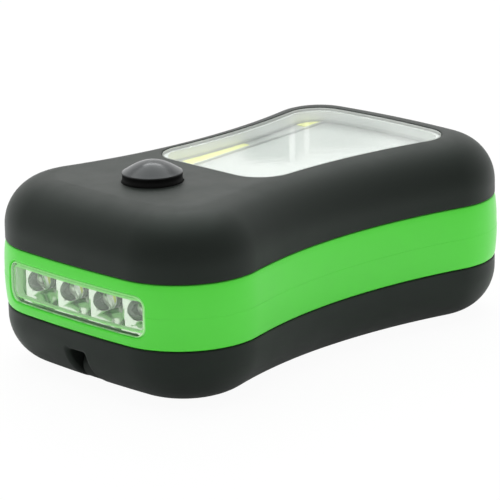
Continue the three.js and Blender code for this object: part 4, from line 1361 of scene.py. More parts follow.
    def bottom_cutters(self) -> list[Object]:
        """Everything that is cut out of the lower cover: notch, channel, pocket, bay, door seat, thumb
        scoop, screw bores and the pockets for the door's tabs.

        Returns:
            The tools.
        """
        hook, bay = self.hook, self.bay
        gap, floor = bay.gap, bay.door_thickness
        cutters = [
            self.notch_cutter(),
            self.along_hook("channel", hook.head_rear - OVERRUN, hook.loop_x, -OVERRUN, hook.depth, 0.0),
            self.along_hook("head", hook.pivot_x, hook.head_rear, -OVERRUN, hook.head_depth, 0.0),
            rod("pocket", (hook.loop_x, 0, -OVERRUN), hook.depth + OVERRUN, hook.pocket_radius),
            box_solid(
                "cells", (bay.front, -bay.half_width, floor), (bay.rear, bay.half_width, bay.roof)
            ),
            box_solid(
                "door_seat", (bay.door_front - gap, -bay.door_half - gap, -OVERRUN),
                (bay.door_rear + gap, bay.door_half + gap, floor + gap),
            ),
            self.scoop_cutter(),
        ]
        head, hole, seat, top = self.screw_head, self.screw_hole, self.counterbore, self.boss_top + OVERRUN
        steps = [(0, -OVERRUN), (head, -OVERRUN), (head, seat), (hole, seat), (hole, top), (0, top)]
        cutters += [
            revolved("screw_bore", steps, (x, y, 0), Axis.Z, segments=40) for x, y in self.screw_places
        ]
        half = bay.tab_half + gap
        for y in (-bay.tab_side, bay.tab_side):
            rear = bay.door_rear + bay.tab_reach + 2 * gap
            low, high = (bay.door_rear - gap, y - half, floor), (rear, y + half, bay.tab_sweep)
            cutters.append(box_solid("tab_pocket", low, high))
        return cutters

    def scoop_cutter(self) -> Object:
        """A tool for the shallow thumb scoop in front of the door's tongue: a lying ellipsoid.

        Returns:
            The new object.
        """
        bay = self.bay
        long = bay.scoop_length
        profile = arc((0, 0), long, -QUARTER, QUARTER, steps=16)
        made = revolved("scoop", profile, (0, 0, 0), Axis.Z, segments=48)
        stretch = Matrix.Diagonal((1, bay.tongue_half / long, bay.scoop_depth / long, 1))
        made.data.transform(Matrix.Translation((bay.door_front, 0, 0)) @ stretch)
        return made

    def bottom_cover(self) -> Object:
        """The lower cover: shell, inside walls and everything cut in them.

        Returns:
            The new object.
        """
        shell = self.form.half_shell("bottom_cover_shell", self.form.band_bottom, False)
        combine(shell, [self.inside_walls()], Combining.JOIN)
        return smooth(combine(shell, self.bottom_cutters()))

    def build(self) -> None:
        """Makes and dresses the casing."""
        wear(self.top_cover(), self.finishes.soft_black, "casing", "soft_black", "top_cover")
        wear(self.band(), self.finishes.green, "casing", "lime_green", "middle_band")
        wear(self.bottom_cover(), self.finishes.soft_black, "casing", "soft_black", "bottom_cover")


# Light panel


@dataclass
class LightPanel:
    """The flat work light: clear cover, white frame, board and two phosphor strips."""

    finishes: Finishes
    form: CasingForm
    panel: PanelForm
    strip_width: float = 0.005
    strip_inset: float = 0.0132
    strip_start: float = -0.0132
    strip_end: float = 0.0444
    strip_splay: float = 0.0008
    lit_runs: tuple[Pair, ...] = ((-0.0127, 0.0140), (0.0360, 0.0439))
    dam_width: float = 0.0005
    dam_lean: float = 0.3
    dam_foot: float = 1.2
    phosphor_start: float = 1.3
    phosphor_foot: float = 0.9
    phosphor_edge: float = 0.4
    phosphor_rise: float = 0.35
    level_normal: float = 0.99
    dome_steps: int = 12
    run_steps: int = 40

    def stack(self, levels: Iterable[Pair]) -> Array:
        """Rings of the panel's outline from pairs of margin and height."""
        return stacked(lambda margin: self.form.panel_outline(margin, self.panel), levels)

    def lens(self) -> Object:
        """The clear cover: a plate with a softened edge, a skirt and a flange under the casing.

        Returns:
            The new object.
        """
        p = self.panel
        low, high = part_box("panel_lens")
        gap, soft = p.running_gap, p.lens_edge
        flange_top = low.z + p.flange_thickness
        skirt, under = gap + p.skirt, high.z - p.lens_thickness
        edge = [(gap + depth, high.z - margin) for margin, depth in rolled_edge(soft, steps=6)]
        return smooth(from_rings("panel_lens_cover", self.stack([
            (skirt + 2 * soft, under), (skirt + soft, under), (skirt, under - soft), (skirt, low.z),
            (-p.flange, low.z), (-p.flange, flange_top), (gap, flange_top),
            *edge, (gap + 2 * soft, high.z), (gap + 4 * soft, high.z),
        ])))

    def reflector(self) -> Object:
        """The white frame as a closed ring: a rim under the lens's flange, and an upstand inside its
        skirt that reaches up to the lens, so that the sides show white through it.

        Returns:
            The new object.
        """
        p = self.panel
        low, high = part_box("panel_reflector")
        outer = 2 * p.running_gap + p.skirt
        inner, foot = outer + p.frame_upstand, p.frame_rim + p.frame_slope
        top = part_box("panel_lens")[1].z - p.lens_thickness - p.running_gap
        soft, edge = p.lens_edge, p.lens_edge / 4
        levels = [
            (-p.flange, low.z), (-p.flange, high.z), (outer, high.z), (outer, top - edge),
            (outer + edge, top), (inner - edge, top), (inner, top - edge), (inner, high.z - soft),
            (inner - edge, high.z - 2 * soft), (foot, low.z + soft), (foot, low.z),
        ]
        return smooth(from_rings("panel_frame", self.stack(levels), closed=True))

    def strip(self, node: str, side: int) -> tuple[Object, list[Object]]:
        """One lit strip: a white carrier with low dams, and the domed phosphor between them.

        Args:
            node: CAD node that they stand for.
            side: 1 for the +Y strip, -1 for the other.

        Returns:
            The carrier and the runs of phosphor.
        """
        low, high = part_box(node)
        dam, width = self.dam_width, self.strip_width
        crown = dam / 2
        section = np.array([
            (0, low.z), (0, high.z - crown), (dam * self.dam_lean, high.z), (dam, high.z),
            (dam * self.dam_foot, high.z - crown),
        ])
        whole = np.concatenate([section, section[::-1] * (-1, 1) + (width, 0)])
        carrier = self.along(f"{node}_carrier", whole, side, (self.strip_start, self.strip_end), 0.0)
        turn = np.linspace(0, HALF, self.dome_steps + 1)
        offset = width / 2 - (width / 2 - self.phosphor_start * dam) * np.cos(turn)
        drop = crown * (self.phosphor_edge - self.phosphor_rise * np.sin(turn))
        foot = high.z - self.phosphor_foot * crown
        dome = np.column_stack([offset, high.z - drop])
        filled = np.concatenate([[(offset[0], foot)], dome, [(offset[-1], foot)]])
        runs = enumerate(self.lit_runs, 1)
        return carrier, [self.along(f"{node}_phosphor_{i}", filled, side, run, dam) for i, run in runs]

    def along(self, name: str, section: Array, side: int, run: Pair, end_gap: float) -> Object:
        """Carries a section along a run of the straight line that joins the panel's waisted side near its
        two ends, less what the frame's opening hides.

        Args:
            name: Name of the piece.
            section: Pairs of offset inwards and height.
            side: 1 for the +Y side, -1 for the other.
            run: Where it starts and ends.
            end_gap: Gap that it keeps to the frame's opening besides the usual one.

        Returns:
            The new object.
        """
        p = self.panel
        ends = np.array([self.strip_start, self.strip_end])
        reach = self.form.half_width(ends, self.strip_inset) + (0.0, self.strip_splay)
        x = np.linspace(*run, self.run_steps + 1)[:, None]
        y = side * (np.interp(x, ends, reach) - section[:, 0])
        bar = from_rings(name, np.stack(np.broadcast_arrays(x, y, section[:, 1]), -1))
        clear = p.frame_rim + p.frame_slope + 2 * p.running_gap + end_gap
        low, high = section[:, 1].min() - OVERRUN, section[:, 1].max() + OVERRUN
        opening = from_rings("strip_room", self.stack([(clear, low), (clear, high)]))
        return smooth(combine(bar, [opening], Combining.CROSS), angle=40)

    def build(self) -> None:
        """Makes and dresses the light panel."""
        lens = wear(self.lens(), self.finishes.clear, "casing", "clear_lens", "panel_lens")
        upright = np.abs(of_faces(lens, OfFace.NORMAL)[:, 2]) < self.level_normal
        wear_on_faces(lens, self.finishes.panel_side, upright)
        wear(self.reflector(), self.finishes.white_frame, "casing", "white_frame", "panel_reflector")
        for node, side in (("led_strip_left", 1), ("led_strip_right", -1)):
            carrier, runs = self.strip(node, side)
            wear(carrier, self.finishes.board_white, "casing", "board_white", node)
            for run in runs:
                # Phosphor runs: yellow with a painted glow.
                wear(run, self.finishes.phosphor, "casing", "phosphor")
        dress_node("panel_led_board", self.finishes.board_white)


# Button


@dataclass
class PushButton:
    """The domed button and the switch under it."""

    finishes: Finishes
    form: CasingForm
    radius: float = 0.00695
    waist: float = 0.00685
    dome_height: float = 0.0027
    dome_drop: float = 0.0003
    dome_start: float = 0.985
    fullness: float = 1.15
    rim: float = 0.00025
    rim_turn: float = 0.9
    foot: float = 0.00035
    stem_radius: float = 0.0022
    flange_width: float = 0.0016
    flange_bottom: float = 0.0035
    flange_top: float = 0.0023
    switch_edge: float = 0.0003
    dome_steps: int = 21
    skirt_steps: int = 8

    @property
    def rim_z(self) -> float:
        """Height of the edge between the skirt and the dome."""
        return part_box("push_button")[1].z - self.dome_drop - self.dome_height

    def profile(self) -> Array:
        """Radius and height of the button: stem, flange, slightly hollow skirt, and a dome whose height
        falls as one less the squared share of its radius, raised to its fullness.

        Returns:
            One row a point.
        """
        bottom, radius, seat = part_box("push_button")[0].z, self.radius, self.form.height
        flange, low, high = radius + self.flange_width, seat - self.flange_bottom, seat - self.flange_top
        share = np.linspace(self.dome_start, 0, self.dome_steps + 1)
        dome = (radius * share, self.rim_z + self.dome_height * (1 - share**2) ** self.fullness)
        points, rim_foot = self.skirt_steps + 1, self.rim_z - self.rim
        bow = (radius - self.waist) * np.sin(np.linspace(0, HALF, points))
        skirt = (radius - bow, np.linspace(seat + self.foot, rim_foot, points))
        rim = arc((radius - self.rim, rim_foot), self.rim, 0, QUARTER * self.rim_turn, steps=4)
        start = [
            (0, bottom), (self.stem_radius, bottom), (self.stem_radius, low), (flange, low),
            (flange, high), (radius, high), (radius, seat),
        ]
        return np.concatenate([start, np.column_stack(skirt), rim[1:], np.column_stack(dome)])

    def build(self) -> None:
        """Makes and dresses the button and the switch."""
        place = (middle_of("push_button")[0], 0, 0)
        made = revolved("push_button_cap", self.profile(), place, Axis.Z, segments=96)
        cap = wear(smooth(made, angle=50), self.finishes.rubber, "button", "button_rubber", "push_button")
        below_rim = of_faces(cap, OfFace.MIDDLE)[:, 2] < self.rim_z - self.rim / 2
        wear_on_faces(cap, self.finishes.rubber_skirt, below_rim)
        housing = softened_copy("switch_body", "switch_housing", self.switch_edge)
        wear(housing, self.finishes.switch_black, "casing", "switch_black", "switch_housing")
        plunger = softened_copy("switch_slider", "switch_plunger", self.switch_edge)
        wear(plunger, self.finishes.plunger_white, "button", "plunger_white", "switch_plunger")
        dress_node("switch_board", self.finishes.board_green)
        for i in (1, 2):
            dress_node(f"resistor_{i}", self.finishes.resistor)


# Torch


@dataclass
class Torch:
    """Torch in the front end: clear window, metallised reflector and four LEDs."""

    finishes: Finishes
    casing: Casing
    torch: TorchForm
    led_radius: float = 0.0025
    led_flange: float = 0.00285
    led_flange_height: float = 0.001
    led_flange_edge: float = 0.15
    cup_back: float = 0.0029
    cup_gap: float = 0.00025
    rim_behind_tip: float = 0.0042
    metal_profile: tuple[Pair, ...] = (
        (0, 0.0012), (0.0014, 0.0012), (0.0018, 0), (0.0015, 0), (0.0007, 0.0005), (0, 0.0005),
    )
    die_profile: tuple[Pair, ...] = (
        (0, 0.00049), (0.00068, 0.000475), (0.0008, 0.0003), (0.0005, 0.00012), (0, 0.0001),
    )
    posts: tuple[Point, ...] = ((0.0008, -0.0010, -0.0004), (0.0003, 0.0013, 0.0019))
    post_half: float = 0.0003
    post_end: float = 0.0002
    frosted_normal: float = 0.85
    base_normal: float = 0.9
    face_steps: int = 8
    inner_steps: int = 6
    pocket_steps: int = 10

    def lens(self) -> Object:
        """The clear window: a shallow box that follows the band, with a flange behind it.

        Returns:
            The new object.
        """
        t = self.torch
        ring = self.casing.window_ring
        gap, edge, inside = t.running_gap, t.edge, t.recess + t.thickness
        inner = gap + t.side
        rolled = rolled_edge(edge, steps=5)[1:]
        face = np.linspace(-t.half_height, -gap - edge, self.face_steps + 1)
        inner_face = np.linspace(-inner - edge, -t.half_height, self.inner_steps + 1)[1:]
        rings = np.array([
            *(ring(margin, t.recess) for margin in face),
            *(ring(-gap - margin, t.recess + depth) for margin, depth in rolled),
            ring(-gap, t.flange_front, 0.0), ring(t.flange, t.flange_front, 0.0),
            ring(t.flange, t.flange_back, 0.0), ring(-inner, t.flange_back, 0.0),
            ring(-inner, inside + edge),
            *(ring(margin - inner - edge, inside + margin) for margin, depth in rolled),
            *(ring(margin, inside) for margin in inner_face),
        ])
        faces = ring_quads(*rings.shape[:2]).tolist()
        return smooth(mesh_object("torch_lens_window", rings.reshape(-1, 3), faces))

    def reflector(self) -> Object:
        """The reflector block: each pocket runs from a square mouth to a round foot, in flat facets.

        Returns:
            The new object.
        """
        low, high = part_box("torch_reflector")
        block = box_solid("torch_reflector_block", tuple(low), tuple(high))
        places = [middle_of(f"torch_led_{i}")[1] for i in ONE_TO_FOUR]
        half_u = abs(places[1] - places[0]) / 2 - self.cup_gap
        half_v = (high.z - low.z) / 2 - 3 * self.cup_gap
        combine(block, [self.pocket(y, low.x, high.x, half_u, half_v) for y in places])
        return smooth(block, angle=25, weighted=False)

    def pocket(self, y: float, front: float, back: float, half_u: float, half_v: float) -> Object:
        """One pocket: corner k of the mouth fans out to the quarter circle of the foot that faces it.

        Args:
            y: Place of its middle.
            front: Place of its mouth.
            back: Place of its foot.
            half_u: Half the mouth's width.
            half_v: Half the mouth's height.

        Returns:
            The tool that cuts it.
        """
        steps = self.pocket_steps
        mouth = np.repeat(np.array(CORNERS) * (half_u, half_v), steps + 1, axis=0)
        foot = np.concatenate([
            arc((0, 0), self.cup_back, k * QUARTER, (k + 1) * QUARTER, steps) for k in range(len(CORNERS))
        ])
        levels = [(front - OVERRUN, mouth), (front, mouth), (back, foot), (back + OVERRUN, foot)]
        rings = np.array([across_x(x, flat + (y, 0), self.torch.axis_z) for x, flat in levels])
        return from_rings("pocket_cutter", rings)

    def led(self, index: int) -> Object:
        """One LED's clear body: a cylinder with a round dome and a flange with a moulded edge.

        Args:
            index: Number of the LED.

        Returns:
            The new object.
        """
        name = f"torch_led_{index}"
        low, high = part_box(name)
        radius, flange, height = self.led_radius, self.led_flange, self.led_flange_height
        edge = height * self.led_flange_edge
        dome = arc((0, high.x - low.x - radius), radius, 0, QUARTER, steps=14)
        foot = [(0, 0), (flange, 0), (flange, height - edge), (flange - edge, height), (radius, height)]
        profile = np.concatenate([foot, dome]) * (1, -1)
        origin = (high.x, middle_of(name)[1], self.torch.axis_z)
        made = revolved(f"{name}_dome", profile, origin, Axis.X, segments=48)
        return smooth(made, angle=40)

    def core(self, index: int) -> tuple[Object, Object]:
        """The metal posts with their cup, and the phosphor dot in it, inside one LED.

        Args:
            index: Number of the LED.

        Returns:
            The metal and the dot.
        """
        name = f"torch_led_{index}"
        low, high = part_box(name)
        rim = low.x + self.rim_behind_tip
        y, z = middle_of(name)[1], self.torch.axis_z
        metal = revolved(f"{name}_frame", self.metal_profile, (rim, y, z), Axis.X, segments=32)
        combine(metal, [
            box_solid(
                "post", (rim + start, y + near, z - self.post_half),
                (high.x - self.post_end, y + far, z + self.post_half),
            )
            for start, near, far in self.posts
        ], Combining.JOIN)
        dot = revolved(f"{name}_die", self.die_profile, (rim, y, z), Axis.X, segments=24)
        return smooth(metal, angle=30), smooth(dot, angle=50)

    def build(self) -> None:
        """Makes and dresses the torch. The window's sides and rounded edges, the faces that don't look
        along it, are frosted and carry a painted glow."""
        lens = wear(self.lens(), self.finishes.torch_clear, "casing", "clear_lens", "torch_lens")
        aslant = np.abs(of_faces(lens, OfFace.NORMAL)[:, 0]) < self.frosted_normal
        # The frosted faces take the pale green finish with its painted glow.
        wear_on_faces(lens, self.finishes.torch_side_painted_glow, aslant)
        wear(self.reflector(), self.finishes.chrome, "casing", "bright_chrome", "torch_reflector")
        for index in ONE_TO_FOUR:
            led = wear(self.led(index), self.finishes.epoxy, "casing", "led_clear", f"torch_led_{index}")
            # The LED's flat back takes the pale base with its painted glow.
            wear_on_faces(led, self.finishes.led_base_painted_glow, of_faces(led, OfFace.NORMAL)[:, 0] > self.base_normal)
            metal, dot = self.core(index)
            wear(metal, self.finishes.led_silver, "casing", "contact_nickel")
            # Phosphor dot: yellow with a painted glow.
            wear(dot, self.finishes.phosphor, "casing", "phosphor")
        dress_node("torch_board", self.finishes.board_green)


# Cells and door


@dataclass
class CellBay:
    """Three cells with their contacts and springs, and the door with its magnet."""

    finishes: Finishes
    cell_radius: float = 0.00525
    crimp: float = 0.0006
    crimp_top: float = 1.6
    sleeve_reach: float = 1.1
    nipple_radius: float = 0.0019
    nipple_length: float = 0.0011
    collar: float = 0.006
    wire_radius: float = 0.00035
    spring_big: float = 0.0034
    spring_small: float = 0.002
    turns: int = 3
    plate_edge: float = 0.0001
    door_edge: float = 0.00025
    magnet_edge: float = 0.0003
    turn_steps: int = 40
    wire_steps: int = 12

    def cell_profile(self, length: float) -> Array:
        """Radius and height of a cell: foot, crimped sleeve, flat top and nipple.

        Args:
            length: Length of the cell.

        Returns:
            One row a point.
        """
        r, c, nipple = self.cell_radius, self.crimp, self.nipple_radius
        top = length - self.nipple_length
        return np.concatenate([
            [(0, 0)], arc((r - c, c), c, -QUARTER, 0, steps=5),
            arc((r - c, top - c), c, 0, QUARTER, steps=5),
            [(r - self.crimp_top * c, top), (r - 2 * c, top - c / 2)],
            [(nipple + c, top - c / 2), (nipple, top)],
            arc((nipple - c / 2, length - c / 2), c / 2, 0, QUARTER, steps=4), [(0, length)],
        ])

    def cell(self, index: int, forward: bool) -> None:
        """Makes and dresses one cell along X. Its two ends are bare metal inside the sleeve's crimps.

        Args:
            index: Number of the cell.
            forward: Whether its nipple points to +X.
        """
        low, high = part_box(f"cell_{index}")
        x, y, z = low.x, *middle_of(f"cell_{index}")[1:]
        length = high.x - x
        profile = self.cell_profile(length) * (1, 1 if forward else -1) + (0, 0 if forward else length)
        made = revolved(f"cell_{index}_can", profile, (x, y, z), Axis.X, segments=64)
        sleeve_end = high.x - self.collar if forward else x + self.collar
        sleeve = RingedSleeve(f"cell_sleeve_{index}", sleeve_end, not forward)
        wear(smooth(made, angle=40), sleeve.material(), "casing", "cell_sleeve", f"cell_{index}")
        reach = np.hypot(*(of_faces(made, OfFace.MIDDLE)[:, 1:] - (y, z)).T)
        wear_on_faces(made, self.finishes.nickel, reach < self.cell_radius - self.crimp * self.sleeve_reach)

    def spring(self, index: int) -> Object:
        """A conical spring: centre on a cone whose radius shrinks along X, with a round wire section.

        Args:
            index: Number of the spring.

        Returns:
            The new object.
        """
        low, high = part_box(f"contact_spring_{index}")
        start, outward = (low.x, 1) if low.x < 0 else (high.x, -1)
        t = np.linspace(0, 1, self.turn_steps * self.turns + 1)
        angle = FULL * self.turns * t
        radius = self.spring_big + (self.spring_small - self.spring_big) * t
        x = start + outward * (self.wire_radius + (high.x - low.x - 2 * self.wire_radius) * t)
        radial = across_x(0.0, np.column_stack([np.cos(angle), np.sin(angle)]))
        axis = (middle_of(f"contact_spring_{index}")[1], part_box("cell_2")[0].z + self.cell_radius)
        centre = across_x(x, np.tile(axis, (len(t), 1))) + radial * radius[:, None]
        turn = np.linspace(0, FULL, self.wire_steps, endpoint=False)[None, :, None]
        section = np.cos(turn) * radial[:, None, :] + np.sin(turn) * np.array([1.0, 0.0, 0.0])
        rings = centre[:, None, :] + self.wire_radius * section
        return smooth(from_rings(f"contact_spring_{index}_wire", rings), angle=60, weighted=False)

    def magnet(self) -> Object:
        """The round magnet with chamfered rims.

        Returns:
            The new object.
        """
        low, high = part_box("magnet")
        origin = (*middle_of("magnet")[:2], low.z)
        radius, depth = (high.x - low.x) / 2, high.z - low.z
        made = chamfered_rod("magnet_disc", origin, depth, radius, self.magnet_edge, Axis.Z, segments=96)
        return smooth(made)

    def build(self) -> None:
        """Makes and dresses the cells, contacts, door and magnet."""
        for index, forward in ((1, False), (2, True), (3, False)):
            self.cell(index, forward)
            spring = self.spring(index)
            wear(spring, self.finishes.spring, "casing", "spring_steel", f"contact_spring_{index}")
        for node in ("contact_positive", "contact_front_bridge", "contact_rear_bridge", "contact_negative"):
            plate = softened_copy(f"{node}_plate", node, self.plate_edge)
            wear(plate, self.finishes.nickel, "casing", "contact_nickel", node)
        door = softened_copy("battery_door_panel", "battery_door", self.door_edge)
        wear(door, self.finishes.soft_black, "door", "soft_black", "battery_door")
        wear(self.magnet(), self.finishes.magnet, "door", "magnet_nickel", "magnet")


# Hook


@dataclass
class FoldingHook:
    """The folding hook and its pin."""

    finishes: Finishes
    form: HookForm
    tip_turn: float = 0.94
    line_steps: int = 11
    loop_steps: int = 56
    tip_steps: int = 8

    def bar(self) -> Object:
        """The bar: a rounded section carried along a line and then round the loop, with a rounded tip.
        Round the tip by an angle, the section's width goes with the cosine and its reach with the sine.

        Returns:
            The new object.
        """
        f = self.form
        half, height = f.arm_width / 2, (f.arm_high - f.arm_low) / 2
        loop_end = HALF - math.radians(f.tip_angle)
        straight = np.linspace(f.pivot_x, f.loop_x - f.loop_radius, self.line_steps + 1)[:-1]
        line = np.column_stack([straight, np.zeros(len(straight))])
        loop = arc((f.loop_x, 0), f.loop_radius, HALF, loop_end, self.loop_steps)
        path = np.concatenate([line, loop])
        along = np.gradient(path, axis=0)
        along[: len(straight)] = (1, 0)
        along /= np.linalg.norm(along, axis=1)[:, None]
        across = np.column_stack([-along[:, 1], along[:, 0]])
        turn = np.linspace(0, QUARTER * self.tip_turn, self.tip_steps + 1)[1:]
        widths = np.concatenate([np.ones(len(across)), np.cos(turn)])
        path = np.concatenate([path, path[-1] + along[-1] * half * np.sin(turn)[:, None]])
        across = np.concatenate([across, np.tile(across[-1], (len(turn), 1))])
        section = rounded_rectangle(half, height, f.edge, side=3, corner=5)[None]
        flat = path[:, None] + section[..., :1] * (across * widths[:, None])[:, None]
        squeeze = 1 - (1 - widths) * f.edge / height
        level = (f.arm_low + f.arm_high) / 2 + section[..., 1:] * squeeze[:, None, None]
        return from_rings("hook_bar", np.concatenate([flat, level], 2))

    def hinge_rod(self, name: str, radius: float, length: float, edge: float) -> Object:
        """A rod along the hook's hinge, with chamfered ends."""
        origin = (self.form.pivot_x, -length / 2, self.form.pivot_z)
        return chamfered_rod(name, origin, length, radius, edge, Axis.Y, segments=64)

    def build(self) -> None:
        """Makes and dresses the hook and its pin."""
        f = self.form
        knuckle = self.hinge_rod("knuckle", f.knuckle_radius, f.knuckle_width, f.edge / 2)
        hook = combine(self.bar(), [knuckle], Combining.JOIN)
        bore = rod("bore", (f.pivot_x, -OVERRUN, f.pivot_z), 2 * OVERRUN, f.pin_radius + f.pin_gap, Axis.Y)
        combine(hook, [bore])
        wear(smooth(hook, angle=40), self.finishes.soft_black, "hook", "soft_black", "hook")
        pin = self.hinge_rod("hook_pin_rod", f.pin_radius, f.pin_length, f.edge / 4)
        wear(smooth(pin), self.finishes.steel, "casing", "screw_steel", "hook_pin")


# Fasteners and wiring


@dataclass(frozen=True)
class ScrewForm:
    """Sizes of a screw besides its length and its head's radius, which are the frame's."""

    head: float
    shank: float


@dataclass
class Fasteners:
    """Pan-head screws with a cross recess, and the leads."""

    finishes: Finishes
    case_form: ScrewForm = ScrewForm(0.0018, 0.00125)
    board_form: ScrewForm = ScrewForm(0.0012, 0.0009)
    recess_width: float = 0.0005
    recess_depth: float = 0.0009
    recess_above: float = 0.0005
    recess_reach: float = 0.55
    dome_share: float = 0.55
    thread_start: float = 0.0003
    pitch: float = 0.00045
    root_share: float = 0.82
    dome_steps: int = 5

    def profile(self, form: ScrewForm, radius: float, length: float) -> Array:
        """Radius and height of a screw: a dome of r * sin a over h * (1 - cos a), and a ridged shank.

        Args:
            form: Sizes of the screw.
            radius: Radius of its head.
            length: Its whole length.

        Returns:
            One row a point.
        """
        turn = np.linspace(0, QUARTER, self.dome_steps + 1)
        dome = (radius * np.sin(turn), form.head * self.dome_share * (1 - np.cos(turn)))
        step = np.arange(2 * int((length - form.head) / self.pitch) - 3)
        ridge = form.shank * np.where(step % 2 == 0, self.root_share, 1.0)
        thread = (ridge, form.head + self.thread_start + step * self.pitch / 2)
        under = [(radius, form.head), (form.shank, form.head)]
        return np.concatenate([np.column_stack(dome), under, np.column_stack(thread), [(0, length)]])

    def screw(self, node: str, axis: Axis, away: int, form: ScrewForm) -> None:
        """Makes one screw in its node's place: domed head, ridged shank and cross recess.

        Args:
            node: CAD node of the screw.
            axis: Direction of its shank.
            away: 1 if its head is at the lower end of that direction, -1 if at the upper end.
            form: Sizes of the screw.
        """
        low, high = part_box(node)
        u, v, along = (np.array(column) for column in axis.value)
        index = along.argmax()
        radius = (high[1] - low[1]) / 2
        origin = middle_of(node)
        origin[index] = low[index] if away > 0 else high[index]
        profile = self.profile(form, radius, high[index] - low[index]) * (1, away)
        made = revolved(f"{node}_body", profile, tuple(origin), axis, segments=32)
        start, end = sorted((-away * self.recess_above, away * self.recess_depth))
        half, reach = self.recess_width / 2, radius * self.recess_reach
        corners = [half * u + reach * v, reach * u + half * v]
        combine(made, [
            box_solid("cross", tuple(origin - corner + along * start), tuple(origin + corner + along * end))
            for corner in corners
        ])
        wear(smooth(made, angle=30), self.finishes.steel, "casing", "screw_steel", node)

    def build(self) -> None:
        """Makes the screws and dresses the leads."""
        for index in ONE_TO_FOUR:
            self.screw(f"case_screw_{index}", Axis.Z, 1, self.case_form)
            self.screw(f"panel_board_screw_{index}", Axis.Z, 1, self.board_form)
        for index in (1, 2):
            self.screw(f"switch_board_screw_{index}", Axis.Z, 1, self.board_form)
            self.screw(f"torch_board_screw_{index}", Axis.X, -1, self.board_form)
        for run in ("battery", "torch", "panel"):
            dress_node(f"lead_{run}_positive", self.finishes.lead_red)
            dress_node(f"lead_{run}_negative", self.finishes.lead_black)


# Studio


@dataclass(frozen=True)
class Lamp:
    """A soft rectangular lamp that looks at a point."""

    name: str
    place: Point
    size: Pair
    power: float
    target: Point = (0.0, 0.0, 0.02)

    def make(self) -> None:
        """Makes the lamp."""
        data = bpy.data.lights.new(self.name, "AREA")
        data.shape = "RECTANGLE"
        data.size, data.size_y = self.size
        data.energy = self.power
        turn = (Vector(self.place) - Vector(self.target)).to_track_quat("Z", "Y").to_matrix().to_4x4()
        shown(self.name, data).matrix_world = Matrix.Translation(self.place) @ turn


